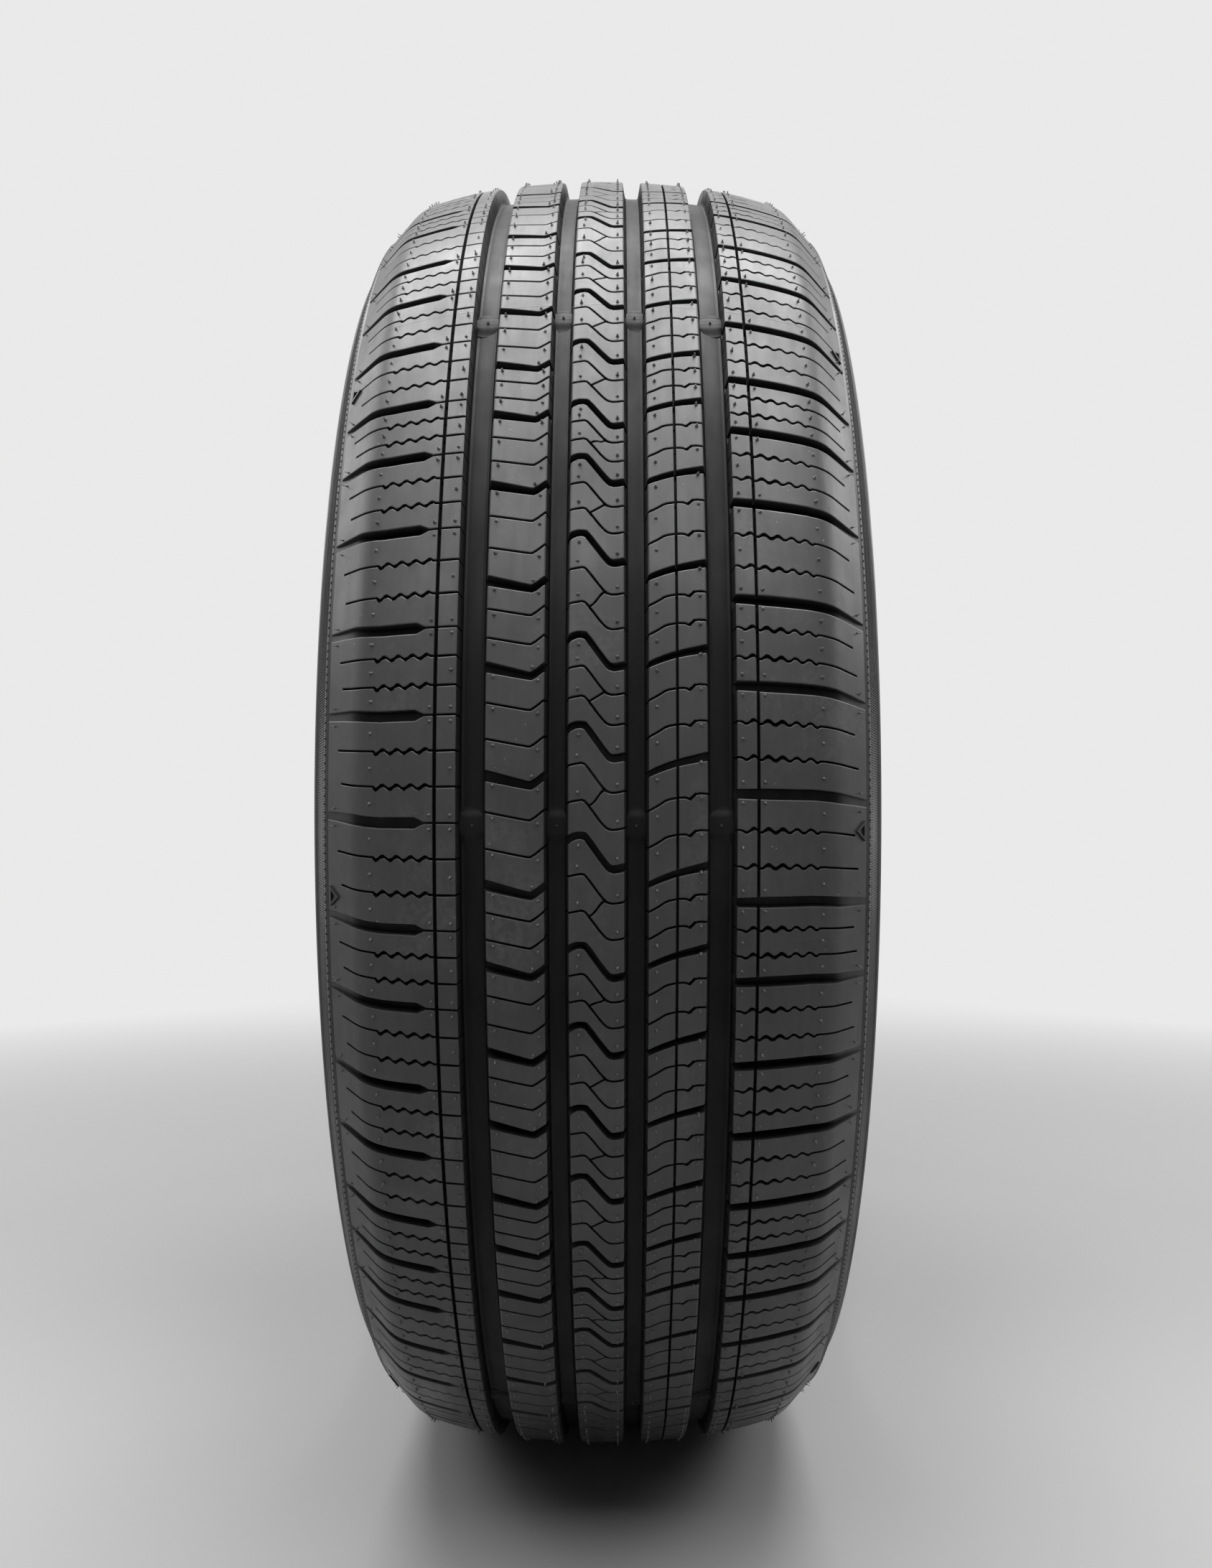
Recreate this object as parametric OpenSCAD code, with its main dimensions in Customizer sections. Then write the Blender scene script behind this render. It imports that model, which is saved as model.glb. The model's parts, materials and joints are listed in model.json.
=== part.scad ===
// Car tyre for a 17-inch rim, one moulded piece. Millimetres, +Z up.
// The spin axis is Y, the origin is the tyre's centre, and the tyre stands on its tread.

/* [Overall size] */
// Outer diameter of the tread
outer_diameter = 724.3; // [715:0.1:735]
// Overall width across the sidewalls
section_width = 233; // [230:0.5:238]
// Diameter of the rim's bead seat, where the bead heels sit
rim_diameter = 436.6; // [432:0.1:442]
// Width of the rim between its flanges
rim_width = 165.1; // [155:0.1:175]
// Length of the flat where the soft tread stands on the ground
contact_length = 56; // [40:1:80]

/* [Tread surface] */
// Radius of the middle of the tread, across the tyre
crown_radius = 400; // [350:5:500]
// Distance from the middle at which the tread starts to round off
crown_half_width = 58; // [54:0.5:60]
// Radius of the outer part of the tread
shoulder_radius = 186; // [160:2:220]
// Distance from the middle at which the shoulder bends down
bend_place = 88; // [86:0.5:90]
// Radius of that bend
bend_radius = 20; // [16:1:22]
// Slope of the bevel below the bend, in degrees
bevel_slope = 46; // [43:1:49]
// Distance of the bevel's outer edge from the middle
edge_place = 107; // [106:0.2:108]

/* [Grooves around the tyre] */
// Depth of the four main grooves
groove_depth = 8.2; // [6:0.1:9]
// Distance of the two outer main grooves from the middle
outer_groove_place = 48.1; // [46.5:0.1:49.5]
// Width of the two outer main grooves at the surface
outer_groove_width = 11.6; // [9:0.1:12.5]
// Distance of the two inner main grooves from the middle
inner_groove_place = 15.3; // [14.5:0.1:16.5]
// Width of the two inner main grooves at the surface
inner_groove_width = 9.4; // [8:0.1:10.5]
// Draft of the main grooves' walls, in degrees
groove_draft = 8; // [4:1:11]
// Height of the wear bars above the floor of the main grooves
wear_bar_height = 1.6; // [1:0.1:2]
// Distance of the fine grooves in the two shoulders from the middle
shoulder_fine_place = 62.1; // [60.5:0.1:64]
// Distance of the fine groove in the fourth rib from the middle
rib_fine_place = 30.9; // [29:0.1:33]
// Depth of the three fine grooves
fine_groove_depth = 4; // [3:0.1:5]

/* [Grooves across the tyre] */
// Depth of the cross grooves between the blocks
cross_depth = 6.4; // [4:0.1:7]
// Width of the cross grooves in the two shoulders
shoulder_groove_width = 4.2; // [3:0.1:5]
// Depth of the shoulder grooves where they end on the bevel
end_depth = 2.9; // [2:0.1:3.8]
// Width of the cross grooves in the three inner ribs
rib_groove_width = 2.6; // [2:0.1:3.2]
// Width of the narrow slit that joins each left shoulder groove to its main groove
slit_width = 0.9; // [0.6:0.1:1.4]

/* [Pitches] */
// Length of the longest pitch relative to a middling one
long_pitch = 1.2; // [1.1:0.01:1.25]
// Length of the short pitch relative to a middling one
short_pitch = 0.905; // [0.87:0.005:0.95]
// Length of the shortest pitch relative to a middling one
shortest_pitch = 0.79; // [0.75:0.01:0.84]

/* [Hidden] */
rubber = [0.13, 0.13, 0.135];

R = outer_diameter / 2;
bead_r = rim_diameter / 2;
half_width = section_width / 2;
section_height = R - bead_r;

// The tread's surface is three tangent arcs and a straight bevel to each side of the middle
slope_1 = asin(crown_half_width / crown_radius);
centre_1 = [0, R - crown_radius];
centre_2 = centre_1 + (crown_radius - shoulder_radius) * [sin(slope_1), cos(slope_1)];
slope_2 = asin((bend_place - centre_2.x) / shoulder_radius);
centre_3 = centre_2 + (shoulder_radius - bend_radius) * [sin(slope_2), cos(slope_2)];
bevel = centre_3 + bend_radius * [sin(bevel_slope), cos(bevel_slope)];

function on_arc(centre, radius, y) = centre.y + sqrt(pow(radius, 2) - pow(y - centre.x, 2));
function tread_r(y) =
    abs(y) < crown_half_width ? on_arc(centre_1, crown_radius, abs(y))
    : abs(y) < bend_place ? on_arc(centre_2, shoulder_radius, abs(y))
    : abs(y) < bevel.x ? on_arc(centre_3, bend_radius, abs(y))
    : bevel.y - (abs(y) - bevel.x) * tan(bevel_slope);
edge_r = tread_r(edge_place);

// Grooves around the tyre: place, width at the surface, width of the floor, depth
function main_groove(place, width) =
    [place, width, width - 2 * groove_depth * tan(groove_draft), groove_depth];
function fine_groove(place, width) = [place, width, 0.75 * width, fine_groove_depth];
grooves = [
    fine_groove(-shoulder_fine_place, 1.3),
    main_groove(-outer_groove_place, outer_groove_width),
    main_groove(-inner_groove_place, inner_groove_width),
    main_groove(inner_groove_place, inner_groove_width),
    fine_groove(rib_fine_place, 0.9),
    main_groove(outer_groove_place, outer_groove_width),
    fine_groove(shoulder_fine_place, 1.1)
];

// Corners of each rib's surface, as distances from the middle; the rib ends at its groove
rib_step = 11.5;
function groove_side(i, side) = grooves[i][0] + side * grooves[i][1] / 2;
function evenly(a, b, n) = [for (k = [0 : n]) a + (b - a) * k / n];
function shoulder_corners(start) =
    concat([start, (start + bend_place) / 2], evenly(bend_place, bevel.x, 2), [edge_place]);
function backwards(list) = [for (j = [len(list) - 1 : -1 : 0]) -list[j]];
function rib_corners(i) =
    i == 0 ? backwards(shoulder_corners(-groove_side(0, -1)))
    : i == len(grooves) ? shoulder_corners(groove_side(i - 1, 1))
    : let (a = groove_side(i - 1, 1), b = groove_side(i, -1)) evenly(a, b, ceil((b - a) / rib_step));
function rib_points(i) = [for (y = rib_corners(i)) [y, tread_r(y)]];
function floor_points(i) =
    let (g = grooves[i], r = tread_r(g[0]) - g[3])
    [[g[0] - g[2] / 2, r], [g[0] + g[2] / 2, r]];
tread_points = [for (i = [0 : len(grooves)])
    each concat(rib_points(i), i < len(grooves) ? floor_points(i) : [])];

// A smooth curve through the points, with the same number of steps between each two
function blend(p, t) =
    0.5 * (2 * p[1] + (p[2] - p[0]) * t + (2 * p[0] - 5 * p[1] + 4 * p[2] - p[3]) * pow(t, 2)
    + (3 * p[1] - p[0] - 3 * p[2] + p[3]) * pow(t, 3));
function curve(pts, steps) =
    let (last = len(pts) - 1)
    concat([for (i = [0 : last - 1], k = [0 : steps - 1])
        blend([for (j = [i - 1 : i + 2]) pts[max(0, min(last, j))]], k / steps)], [pts[last]]);

// Band below the shoulder's edge: each corner's part of the way out to the widest point and its part
// of the way down the band, for a thin groove, a rib, the band itself, a ring and a ridge
band_height = 0.142 * section_height;
wall_top = edge_r - band_height;
band = [for (c = [
        [-0.01, 0.064], [0.105, 0.069], [0.2, 0.098], [0.23, 0.142],
        [0.26, 0.181], [0.69, 0.623],
        [0.82, 0.657], [0.85, 0.716], [0.77, 0.765],
        [0.905, 0.794], [0.935, 0.863], [0.865, 0.941]])
    [edge_place + c.x * (half_width - edge_place), edge_r - c.y * band_height]];

// Outside of the sidewall, from the band to the rim's flange
function up_the_wall(part) = bead_r + part * (wall_top - bead_r);
sidewall = curve([
    [half_width - 1.3, wall_top],
    [half_width - 0.3, up_the_wall(0.854)],
    [half_width, up_the_wall(0.704)],
    [half_width - 2.5, up_the_wall(0.54)],
    [half_width - 9.5, up_the_wall(0.375)],
    [half_width - 20, up_the_wall(0.24)],
    [rim_width / 2 + 3, bead_r + 8]], 4);

// Bead: a rounded heel, a base with 5 degrees of taper and a short true cylinder at the toe
bead_base = 17;
toe_land = 5;
heel_length = 4;
base_taper = 5;
seat_r = bead_r - (bead_base - toe_land - heel_length) * tan(base_taper);
toe_y = rim_width / 2 - bead_base;
bead = [
    [rim_width / 2 - 0.4, bead_r + 5.5],
    [rim_width / 2 - 1.4, bead_r + 2.2],
    [rim_width / 2 - heel_length, bead_r],
    [toe_y + toe_land, seat_r],
    [toe_y, seat_r]];

// Inside of the tyre, from the toe to the middle of the tread
crown_gauge = 15.6;
function up_inside(part) = bead_r + part * (R - crown_gauge - bead_r);
inside = curve([
    [toe_y - 0.8, seat_r + 2],
    [toe_y + 2.5, up_inside(0.1115)],
    [toe_y + 14, up_inside(0.191)],
    [half_width - 21, up_inside(0.281)],
    [half_width - 10.5, up_inside(0.415)],
    [half_width - 7.4, up_inside(0.572)],
    [half_width - 11, up_inside(0.763)],
    [edge_place - 14.5, up_inside(0.897)],
    [edge_place - 36.5, up_inside(0.957)],
    [0.37 * edge_place, up_inside(0.986)],
    [0, up_inside(1)]], 2);

right_half = concat(band, sidewall, bead, inside);
left_half = [for (i = [len(right_half) - 2 : -1 : 0]) [-right_half[i].x, right_half[i].y]];
outline = concat(tread_points, right_half, left_half);

module casing() {
    rotate_extrude($fn = 256)
        polygon([for (p = outline) [p.y, p.x]]);
}

// Pitches around the tyre in their order, from A for the shortest to D for the longest
pitch_order = "CACDCDDBCBCAACCDBADCBBDAACDBCDDCABBDCAADDCBABCDBACDDBABACDABBCADBC";
pitch_count = len(pitch_order);
first_pitch = -32.75;
function pitch_length(kind) =
    kind == "A" ? shortest_pitch : kind == "B" ? short_pitch : kind == "C" ? 1 : long_pitch;
function length_before(i) = i == 0 ? 0 : length_before(i - 1) + pitch_length(pitch_order[i - 1]);
function pitch_angle(i) = first_pitch + 360 * length_before(i) / length_before(pitch_count);

// Angles by which each rib's cross grooves run ahead of the middle rib's
second_rib_lead = 3.9;
fourth_rib_lead = 4;
left_shoulder_lead = 1;
right_shoulder_lead = 2.8;

// How far the two shoulders' grooves bend along the turn on the bevel
left_shoulder_bend = -2.4;
right_shoulder_bend = 3.2;

// Edges of the ribs, each as its distance from the middle
middle_edge = inner_groove_place - inner_groove_width / 2;
rib_inner_edge = inner_groove_place + inner_groove_width / 2;
rib_outer_edge = outer_groove_place - outer_groove_width / 2;
shoulder_inner_edge = outer_groove_place + outer_groove_width / 2;
into_groove = 2;
above = 4;

// A cut of an outline [along the turn, across the tyre], down to the given radius
module cut_down(floor_r, pts) {
    translate([floor_r, 0, 0])
        rotate([90, 0, 90])
            linear_extrude(R + above - floor_r)
                polygon(pts);
}

// An outline of the given widths along a line of points
function strip(line, widths) = concat(
    [for (i = [0 : len(line) - 1]) line[i] - [widths[i] / 2, 0]],
    [for (i = [len(line) - 1 : -1 : 0]) line[i] + [widths[i] / 2, 0]]);

// Cross groove of the middle rib: over a hump, down a long slant and out level
module middle_rib_groove() {
    w = rib_groove_width;
    cut_down(R - cross_depth, strip(
        [[0.5, -middle_edge - into_groove], [-1.9, -0.5 * middle_edge],
            [8.8, 0.5 * middle_edge], [9.4, middle_edge + into_groove]],
        [w, 1.15 * w, 1.3 * w, 1.1 * w]));
}

// Cross groove of the second rib: a long slope down to a knee, then a short one up
module second_rib_groove() {
    w = rib_groove_width;
    cut_down(tread_r(rib_outer_edge) - cross_depth, strip(
        [[-0.4, -rib_outer_edge - into_groove], [4, -0.7 * rib_inner_edge - 0.3 * rib_outer_edge],
            [-0.4, -rib_inner_edge + into_groove]],
        [1.5 * w, 1.05 * w, 0.95 * w]));
}

// Cross groove of the fourth rib: a bent rise that widens outwards
module fourth_rib_groove() {
    w = rib_groove_width;
    cut_down(tread_r(rib_outer_edge) - cross_depth, strip(
        [[0.9, rib_inner_edge - into_groove], [-3.6, 0.7 * rib_inner_edge + 0.3 * rib_outer_edge],
            [-7.4, rib_outer_edge + into_groove]],
        [0.8 * w, 0.95 * w, 1.25 * w]));
}

// A shoulder groove's floor follows the tread to the bend and then runs down the bevel
end_gap = 2;
bend_floor = [bend_place, tread_r(bend_place) - cross_depth];
groove_end = [edge_place - end_gap, tread_r(edge_place - end_gap) - end_depth];
bevel_run = norm(groove_end - bend_floor);
floor_slope = atan2(bend_floor.y - groove_end.y, groove_end.x - bend_floor.x);
cut_height = 3 * cross_depth;
bend_top = bend_floor + cut_height * [sin(floor_slope), cos(floor_slope)];

// Part of a shoulder groove from its start to the bend, with an end that is square to the bevel's floor
module shoulder_cut(start) {
    rotate([90, 0, 0])
        linear_extrude(shoulder_groove_width, center = true)
            polygon([
                [tread_r(start) - cross_depth, start], [bend_floor.y, bend_floor.x],
                [bend_top.y, bend_top.x], [R + above, start]]);
}

// Part of a shoulder groove on the bevel, with the given bend along the turn and a narrow end
module bevel_cut(bend) {
    w = shoulder_groove_width;
    overlap = 1;
    step_in = 0.3;
    end_length = 3;
    translate([bend_floor.y, 0, bend_floor.x])
        rotate([0, 90 - floor_slope, 0])
            rotate([0, 0, 90])
                linear_extrude(cut_height)
                    polygon(strip(
                        [[0, -overlap], [0.85 * bend, bevel_run - end_length], [bend, bevel_run]],
                        [w - 2 * step_in, 0.9 * w, 0.3 * w]));
}

module left_shoulder_groove() {
    slot_gap = 5.6;
    slot_start = shoulder_fine_place + slot_gap;
    mirror([0, 0, 1]) {
        shoulder_cut(slot_start);
        bevel_cut(left_shoulder_bend);
    }
    cut_down(tread_r(shoulder_fine_place) - cross_depth + 0.5, strip(
        [[0, -slot_start - 1], [0, -shoulder_inner_edge + into_groove]],
        [slit_width, slit_width]));
}

module right_shoulder_groove() {
    shoulder_cut(shoulder_inner_edge - into_groove);
    bevel_cut(right_shoulder_bend);
}

module cross_grooves() {
    for (i = [0 : pitch_count - 1]) {
        a = pitch_angle(i);
        rotate(a)
            middle_rib_groove();
        rotate(a - second_rib_lead)
            second_rib_groove();
        rotate(a - fourth_rib_lead)
            fourth_rib_groove();
        rotate(a - left_shoulder_lead)
            left_shoulder_groove();
        rotate(a - right_shoulder_lead)
            right_shoulder_groove();
    }
}

// Ground under the flat where the soft tread stands
module ground() {
    flat_r = sqrt(pow(R, 2) - pow(contact_length / 2, 2));
    translate([-2 * contact_length, flat_r, -section_width])
        cube([4 * contact_length, 2 * (R - flat_r) + 10, 2 * section_width]);
}

// Bars in the main grooves that come level with the tread when it is worn out, in pairs
wear_bar_pairs = 4;
wear_bar_angle = 1.3;
first_wear_bar = 0.2;
second_wear_bar = first_wear_bar + 52.2;
module wear_bars() {
    for (k = [0 : wear_bar_pairs - 1], first = [first_wear_bar, second_wear_bar], i = [1, 2, 3, 5]) {
        g = grooves[i];
        floor_r = tread_r(g[0]) - g[3];
        rotate(first + k * 360 / wear_bar_pairs)
            rotate_extrude(angle = wear_bar_angle, $fn = 256)
                translate([floor_r - 2, g[0] - g[1] / 2])
                    square([2 + wear_bar_height, g[1]]);
    }
}

module tyre() {
    color(rubber)
        rotate([-90, 0, 0]) {
            difference() {
                casing();
                cross_grooves();
                ground();
            }
            wear_bars();
        }
}

tyre();
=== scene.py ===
"""Dresses the packed car tyre: a tread of five ribs with grooves and slits, shoulders, sidewalls and rubber.

Laid out as an add-on: sizes in property groups, one operator for each piece, one for the stage.
Across means along the spin axis (Y). Along means round the tyre, downwards on the side that faces +X.
"""
import json
import math

import bpy
from bpy.props import FloatProperty, FloatVectorProperty, IntProperty, PointerProperty
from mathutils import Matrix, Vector
from mathutils.geometry import delaunay_2d_cdt


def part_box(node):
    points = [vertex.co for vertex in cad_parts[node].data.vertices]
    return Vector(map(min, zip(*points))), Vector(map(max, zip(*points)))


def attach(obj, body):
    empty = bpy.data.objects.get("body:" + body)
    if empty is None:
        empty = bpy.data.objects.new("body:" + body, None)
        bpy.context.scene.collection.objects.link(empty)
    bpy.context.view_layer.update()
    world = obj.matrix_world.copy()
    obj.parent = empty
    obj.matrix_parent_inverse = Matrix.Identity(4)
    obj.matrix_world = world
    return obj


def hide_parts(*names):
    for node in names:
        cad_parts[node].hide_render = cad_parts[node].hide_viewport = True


bl_info = {
    "name": "Car tyre",
    "version": (1, 0, 0),
    "blender": (4, 5, 0),
    "location": "View3D > Sidebar > Tyre",
    "description": "Builds a car tyre's tread, sidewalls and rubber on its CAD frame",
    "category": "Mesh",
}

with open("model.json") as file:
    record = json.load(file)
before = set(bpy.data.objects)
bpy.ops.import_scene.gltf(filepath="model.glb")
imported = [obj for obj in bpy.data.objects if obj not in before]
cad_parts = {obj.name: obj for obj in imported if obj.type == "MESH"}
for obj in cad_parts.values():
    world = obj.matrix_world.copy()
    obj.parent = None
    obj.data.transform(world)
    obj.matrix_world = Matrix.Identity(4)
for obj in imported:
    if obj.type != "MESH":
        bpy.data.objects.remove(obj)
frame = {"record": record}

MM = 0.001
LOW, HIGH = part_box("tyre")
TREAD_RADIUS = HIGH[2]
FLAT_RADIUS = -LOW[2]
HALF_WIDTH = HIGH[1]
SEAT_RADIUS = frame["record"]["mounts"][0]["dims"]["r_mm"] * MM
BODY = "root"

# Pitches round the tyre in their order, from A for the shortest to D for the longest
PITCH_ORDER = "CACDCDDBCBCAACCDBADCBBDAACDBCDDCABBDCAADDCBABCDBACDDBABACDABBCADBC"
PARTS_PER_PITCH = 3
# A longer pitch stretches its blocks only, not what lies within this distance of a cut, in mm
UNSTRETCHED = 3.0
# Net of a pitch in mm: its widest and least step across, and how far its free points keep from the cuts
WIDEST_STEP, LEAST_STEP, CLEAR_OF_CUTS = 5.5, 0.02, 0.8


def length(text, default):
    """A size in metres for a property group."""
    return FloatProperty(name=text, description=text, default=default, unit="LENGTH", precision=5)


def angle(text, degrees):
    """An angle for a property group, given in degrees."""
    return FloatProperty(name=text, description=text, default=math.radians(degrees), unit="ROTATION")


def number(text, default):
    """A plain number for a property group."""
    return FloatProperty(name=text, description=text, default=default, precision=4)


def whole(text, default, least=0):
    """A whole number for a property group."""
    return IntProperty(name=text, description=text, default=default, min=least)


def colour(text, default):
    """A colour for a property group."""
    return FloatVectorProperty(name=text, description=text, subtype="COLOR", default=default)


class TreadSizes(bpy.types.PropertyGroup):
    """Sizes of the tread's surface, grooves and slits."""
    crown_radius: length("Radius of the middle of the tread, across the tyre", 0.400)
    crown_half_width: length("Where the tread starts to round off", 0.058)
    shoulder_radius: length("Radius of the outer part of the tread", 0.186)
    bend_place: length("Where the shoulder bends down", 0.088)
    bend_radius: length("Radius of the shoulder's bend", 0.020)
    bevel_slope: angle("Slope of the bevel below the bend", 46)
    edge_place: length("Outer edge of the bevel", 0.107)
    groove_depth: length("Depth of the main grooves", 0.0082)
    outer_groove_place: length("Place of the outer main grooves", 0.0481)
    outer_groove_width: length("Width of the outer main grooves", 0.0116)
    inner_groove_place: length("Place of the inner main grooves", 0.0153)
    inner_groove_width: length("Width of the inner main grooves", 0.0094)
    groove_draft: angle("Draft of the main grooves", 8)
    shoulder_fine_place: length("Place of the fine grooves in the shoulders", 0.0621)
    rib_fine_place: length("Place of the fine groove in the fourth rib", 0.0309)
    fine_groove_depth: length("Depth of the fine grooves", 0.004)
    cross_depth: length("Depth of the cross grooves", 0.0064)
    end_depth: length("Depth of the shoulder grooves at their ends", 0.0029)
    slit_depth: length("Depth of the slits", 0.005)
    slit_width: length("Width of the slits", 0.0009)
    first_pitch: angle("Angle at which the first pitch starts", -32.75)
    long_pitch: number("Length of the longest pitch relative to a middling one", 1.2)
    short_pitch: number("Length of the short pitch relative to a middling one", 0.905)
    shortest_pitch: number("Length of the shortest pitch relative to a middling one", 0.79)
    crease: angle("Angle from which an edge is drawn sharp", 13)


class CasingSizes(bpy.types.PropertyGroup):
    """Sizes of the sidewalls, beads and inner liner."""
    rim_width: length("Width of the rim between its flanges", 0.1651)
    rim_radius: length("Radius of the rim's bead seat at the heels", 0.2183)
    crown_gauge: length("Thickness of the crown", 0.0156)
    turns: whole("Facets round the sidewalls", 376, 64)
    band_ribs: whole("Fine ribs round each side band", 1980)
    beads: whole("Small beads round each side band", 640)


class PinSizes(bpy.types.PropertyGroup):
    """Sizes of the little moulding pins that stand on the rubber."""
    nub_radius: length("Radius of a cut pin", 0.0008)
    nub_height: length("Height of a cut pin", 0.0016)
    hair_radius: length("Radius of a long pin", 0.00042)
    hair_height: length("Height of a long pin", 0.0021)
    lean: number("How far the pins lean", 0.22)
    seed: whole("Seed of the pins' lengths and leans", 7)
    crease: angle("Angle from which a pin's edge is drawn sharp", 60)


class MarkSizes(bpy.types.PropertyGroup):
    """Sizes of the wear bars and of their small triangles on the shoulders."""
    pairs: whole("Pairs of wear bars in each main groove", 4)
    first_bar: angle("Angle of the first wear bar's middle", 0.87)
    second_bar: angle("Turn from the first to the second bar of a pair", 52.2)
    bar_length: length("Length of a wear bar's top", 0.0050)
    bar_ramp: length("Length of a wear bar's ramps", 0.0052)
    bar_height: length("Height of a wear bar", 0.0013)
    pin_radius: length("Radius of a wear bar's pin", 0.0007)
    right_mark: angle("Turn from a bar to the triangle on the right shoulder", 0.4)
    left_mark: angle("Turn from a bar to the triangle on the left shoulder", 4.8)
    mark_inner: length("Place of a triangle's tip", 0.1018)
    mark_outer: length("Place of a triangle's foot", 0.1058)
    mark_half: length("Half the length of a triangle's foot", 0.00405)
    mark_lift: length("Height of a triangle above the rubber", 0.0006)


class RubberLook(bpy.types.PropertyGroup):
    """Colours and finish of the rubber."""
    tread_colour: colour("Colour of the tread", (0.025, 0.025, 0.0265))
    wall_colour: colour("Colour of the sidewalls", (0.022, 0.022, 0.0235))
    dust_colour: colour("Colour of dust and chalky bloom", (0.3, 0.296, 0.288))
    tread_roughness: number("Roughness of the tread", 0.43)
    wall_roughness: number("Roughness of the sidewalls", 0.40)
    # Painted shade: the colour is multiplied down to this where a point's sunk value is full, deep in the grooves
    deepest_painted_shade: number("Shade of the rubber deep in the grooves", 0.25)
    sunk_sheen: number("Sheen of the rubber deep in the grooves", 0.13)
    grain_depth: length("Depth of the moulded grain", 0.000025)


class StageSizes(bpy.types.PropertyGroup):
    """Sizes of the floor, the camera's place and the lamps."""
    floor_reach: length("Reach of the floor to each side", 5.0)
    wall_place: length("Distance of the backdrop behind the axle", 2.6)
    floor_colour: colour("Colour of the floor", (0.49, 0.49, 0.49))
    backdrop_level: number("Level of the backdrop, where 1 is white", 0.82)
    world_light: number("Strength of the even light from all around", 0.03)
    camera_distance: length("Distance of the camera from the axle", 0.9177)
    camera_side: length("Distance of the camera from the tyre's middle plane", 0.0083)
    lens: number("Focal length in mm on a 36 mm sensor", 33.68)
    shift_x: number("Sideways shift", -0.0078)
    shift_y: number("Upward shift", 0.0179)


GROUPS = {
    "tyre_tread": TreadSizes, "tyre_casing": CasingSizes, "tyre_pins": PinSizes,
    "tyre_marks": MarkSizes, "tyre_look": RubberLook, "tyre_stage": StageSizes,
}


# Surface of the tread

def between(table, at):
    """Value of a list of (place, value) at a place, straight between its points and level beyond them."""
    if at <= table[0][0]:
        return table[0][1]
    for (a, low), (b, high) in zip(table, table[1:]):
        if at <= b:
            return low + (high - low) * (at - a) / (b - a)
    return table[-1][1]


def evenly(a, b, step):
    """Places from a to b, evenly spaced by about a step."""
    count = max(1, math.ceil(abs(b - a) / step - 1e-6))
    return [a + (b - a) * k / count for k in range(count + 1)]


class TreadSurface:
    """The tread's outline: three tangent arcs and a straight bevel to each side of the middle."""

    def __init__(self, sizes):
        self.sizes = sizes
        slope = math.asin(sizes.crown_half_width / sizes.crown_radius)
        self.crown = (0.0, TREAD_RADIUS - sizes.crown_radius)
        self.shoulder = self.moved(self.crown, sizes.crown_radius - sizes.shoulder_radius, slope)
        slope = math.asin((sizes.bend_place - self.shoulder[0]) / sizes.shoulder_radius)
        self.bend = self.moved(self.shoulder, sizes.shoulder_radius - sizes.bend_radius, slope)
        self.bevel = self.moved(self.bend, sizes.bend_radius, sizes.bevel_slope)

    @staticmethod
    def moved(centre, distance, slope):
        return (centre[0] + distance * math.sin(slope), centre[1] + distance * math.cos(slope))

    @staticmethod
    def on_arc(centre, radius, across):
        return centre[1] + math.sqrt(radius ** 2 - (across - centre[0]) ** 2)

    def radius(self, across):
        """Distance of the surface from the axle."""
        place, sizes = abs(across), self.sizes
        if place < sizes.crown_half_width:
            return self.on_arc(self.crown, sizes.crown_radius, place)
        if place < sizes.bend_place:
            return self.on_arc(self.shoulder, sizes.shoulder_radius, place)
        if place < self.bevel[0]:
            return self.on_arc(self.bend, sizes.bend_radius, place)
        return self.bevel[1] - (place - self.bevel[0]) * math.tan(sizes.bevel_slope)

    def slope(self, across, step=0.0005):
        """Outward slope of the surface as an angle, signed by the side it is on."""
        rise = self.radius(across + step) - self.radius(across - step)
        return math.atan2(-rise, 2 * step)

    def corners(self):
        """Places of the bend's corners, where the outline turns most."""
        sizes = self.sizes
        return [sizes.bend_place + (self.bevel[0] - sizes.bend_place) * k / 4 for k in range(5)]


class Cut:
    """A groove or slit across a rib, in mm: its line as (across, along) points, half widths and depths.

    share is its place along the pitch, lip the run of its rounded edge, shut tells which ends have a wall.
    """

    def __init__(self, share, line, width, depth, lip, shut=(False, False)):
        self.share, self.line, self.depths, self.lip, self.shut = share, line, depth, lip, shut
        self.halves = [(u, w / 2) for u, w in width]

    def steepness(self, at):
        """How much wider the cut is along the turn than straight across its own line."""
        around = [math.hypot(1, (t2 - t1) / (u2 - u1))
                  for (u1, t1), (u2, t2) in zip(self.line, self.line[1:]) if u1 - 1e-6 <= at <= u2 + 1e-6]
        return sum(around) / len(around) if around else 1.0

    def half(self, at):
        return between(self.halves, at) * self.steepness(at)

    def wall(self, at):
        """Run of the cut's steep wall, less where the cut is narrow."""
        return min(0.22, 0.45 * self.half(at))

    def places(self, extra):
        """Places across the rib at which the cut's outline has a point."""
        first, last = self.line[0][0], self.line[-1][0]
        wanted = {u for u, _ in self.line} | {u for u, _ in self.halves} | {u for u, _ in self.depths} | set(extra)
        kept = sorted(u for u in wanted if first - 1e-6 <= u <= last + 1e-6)
        return [u for u, before in zip(kept, [-1e9] + kept) if u - before > 0.05]


def rounded(points, share=0.25):
    """A line of points with each inner corner cut once."""
    result = [points[0]]
    for before, here, after in zip(points, points[1:], points[2:]):
        for other in (before, after):
            result.append(tuple(h + share * (o - h) for h, o in zip(here, other)))
    return result + [points[-1]]


def zigzag(start, end, period, height, base):
    """Corners of a zigzag from one place to another about a base line, in mm."""
    count = max(1, round(abs(end - start) / (period / 2)))
    places = [start + (end - start) * k / count for k in range(count + 1)]
    return [(at, between(base, at) + height * (-1 if k % 2 else 1)) for k, at in enumerate(places)]


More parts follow.
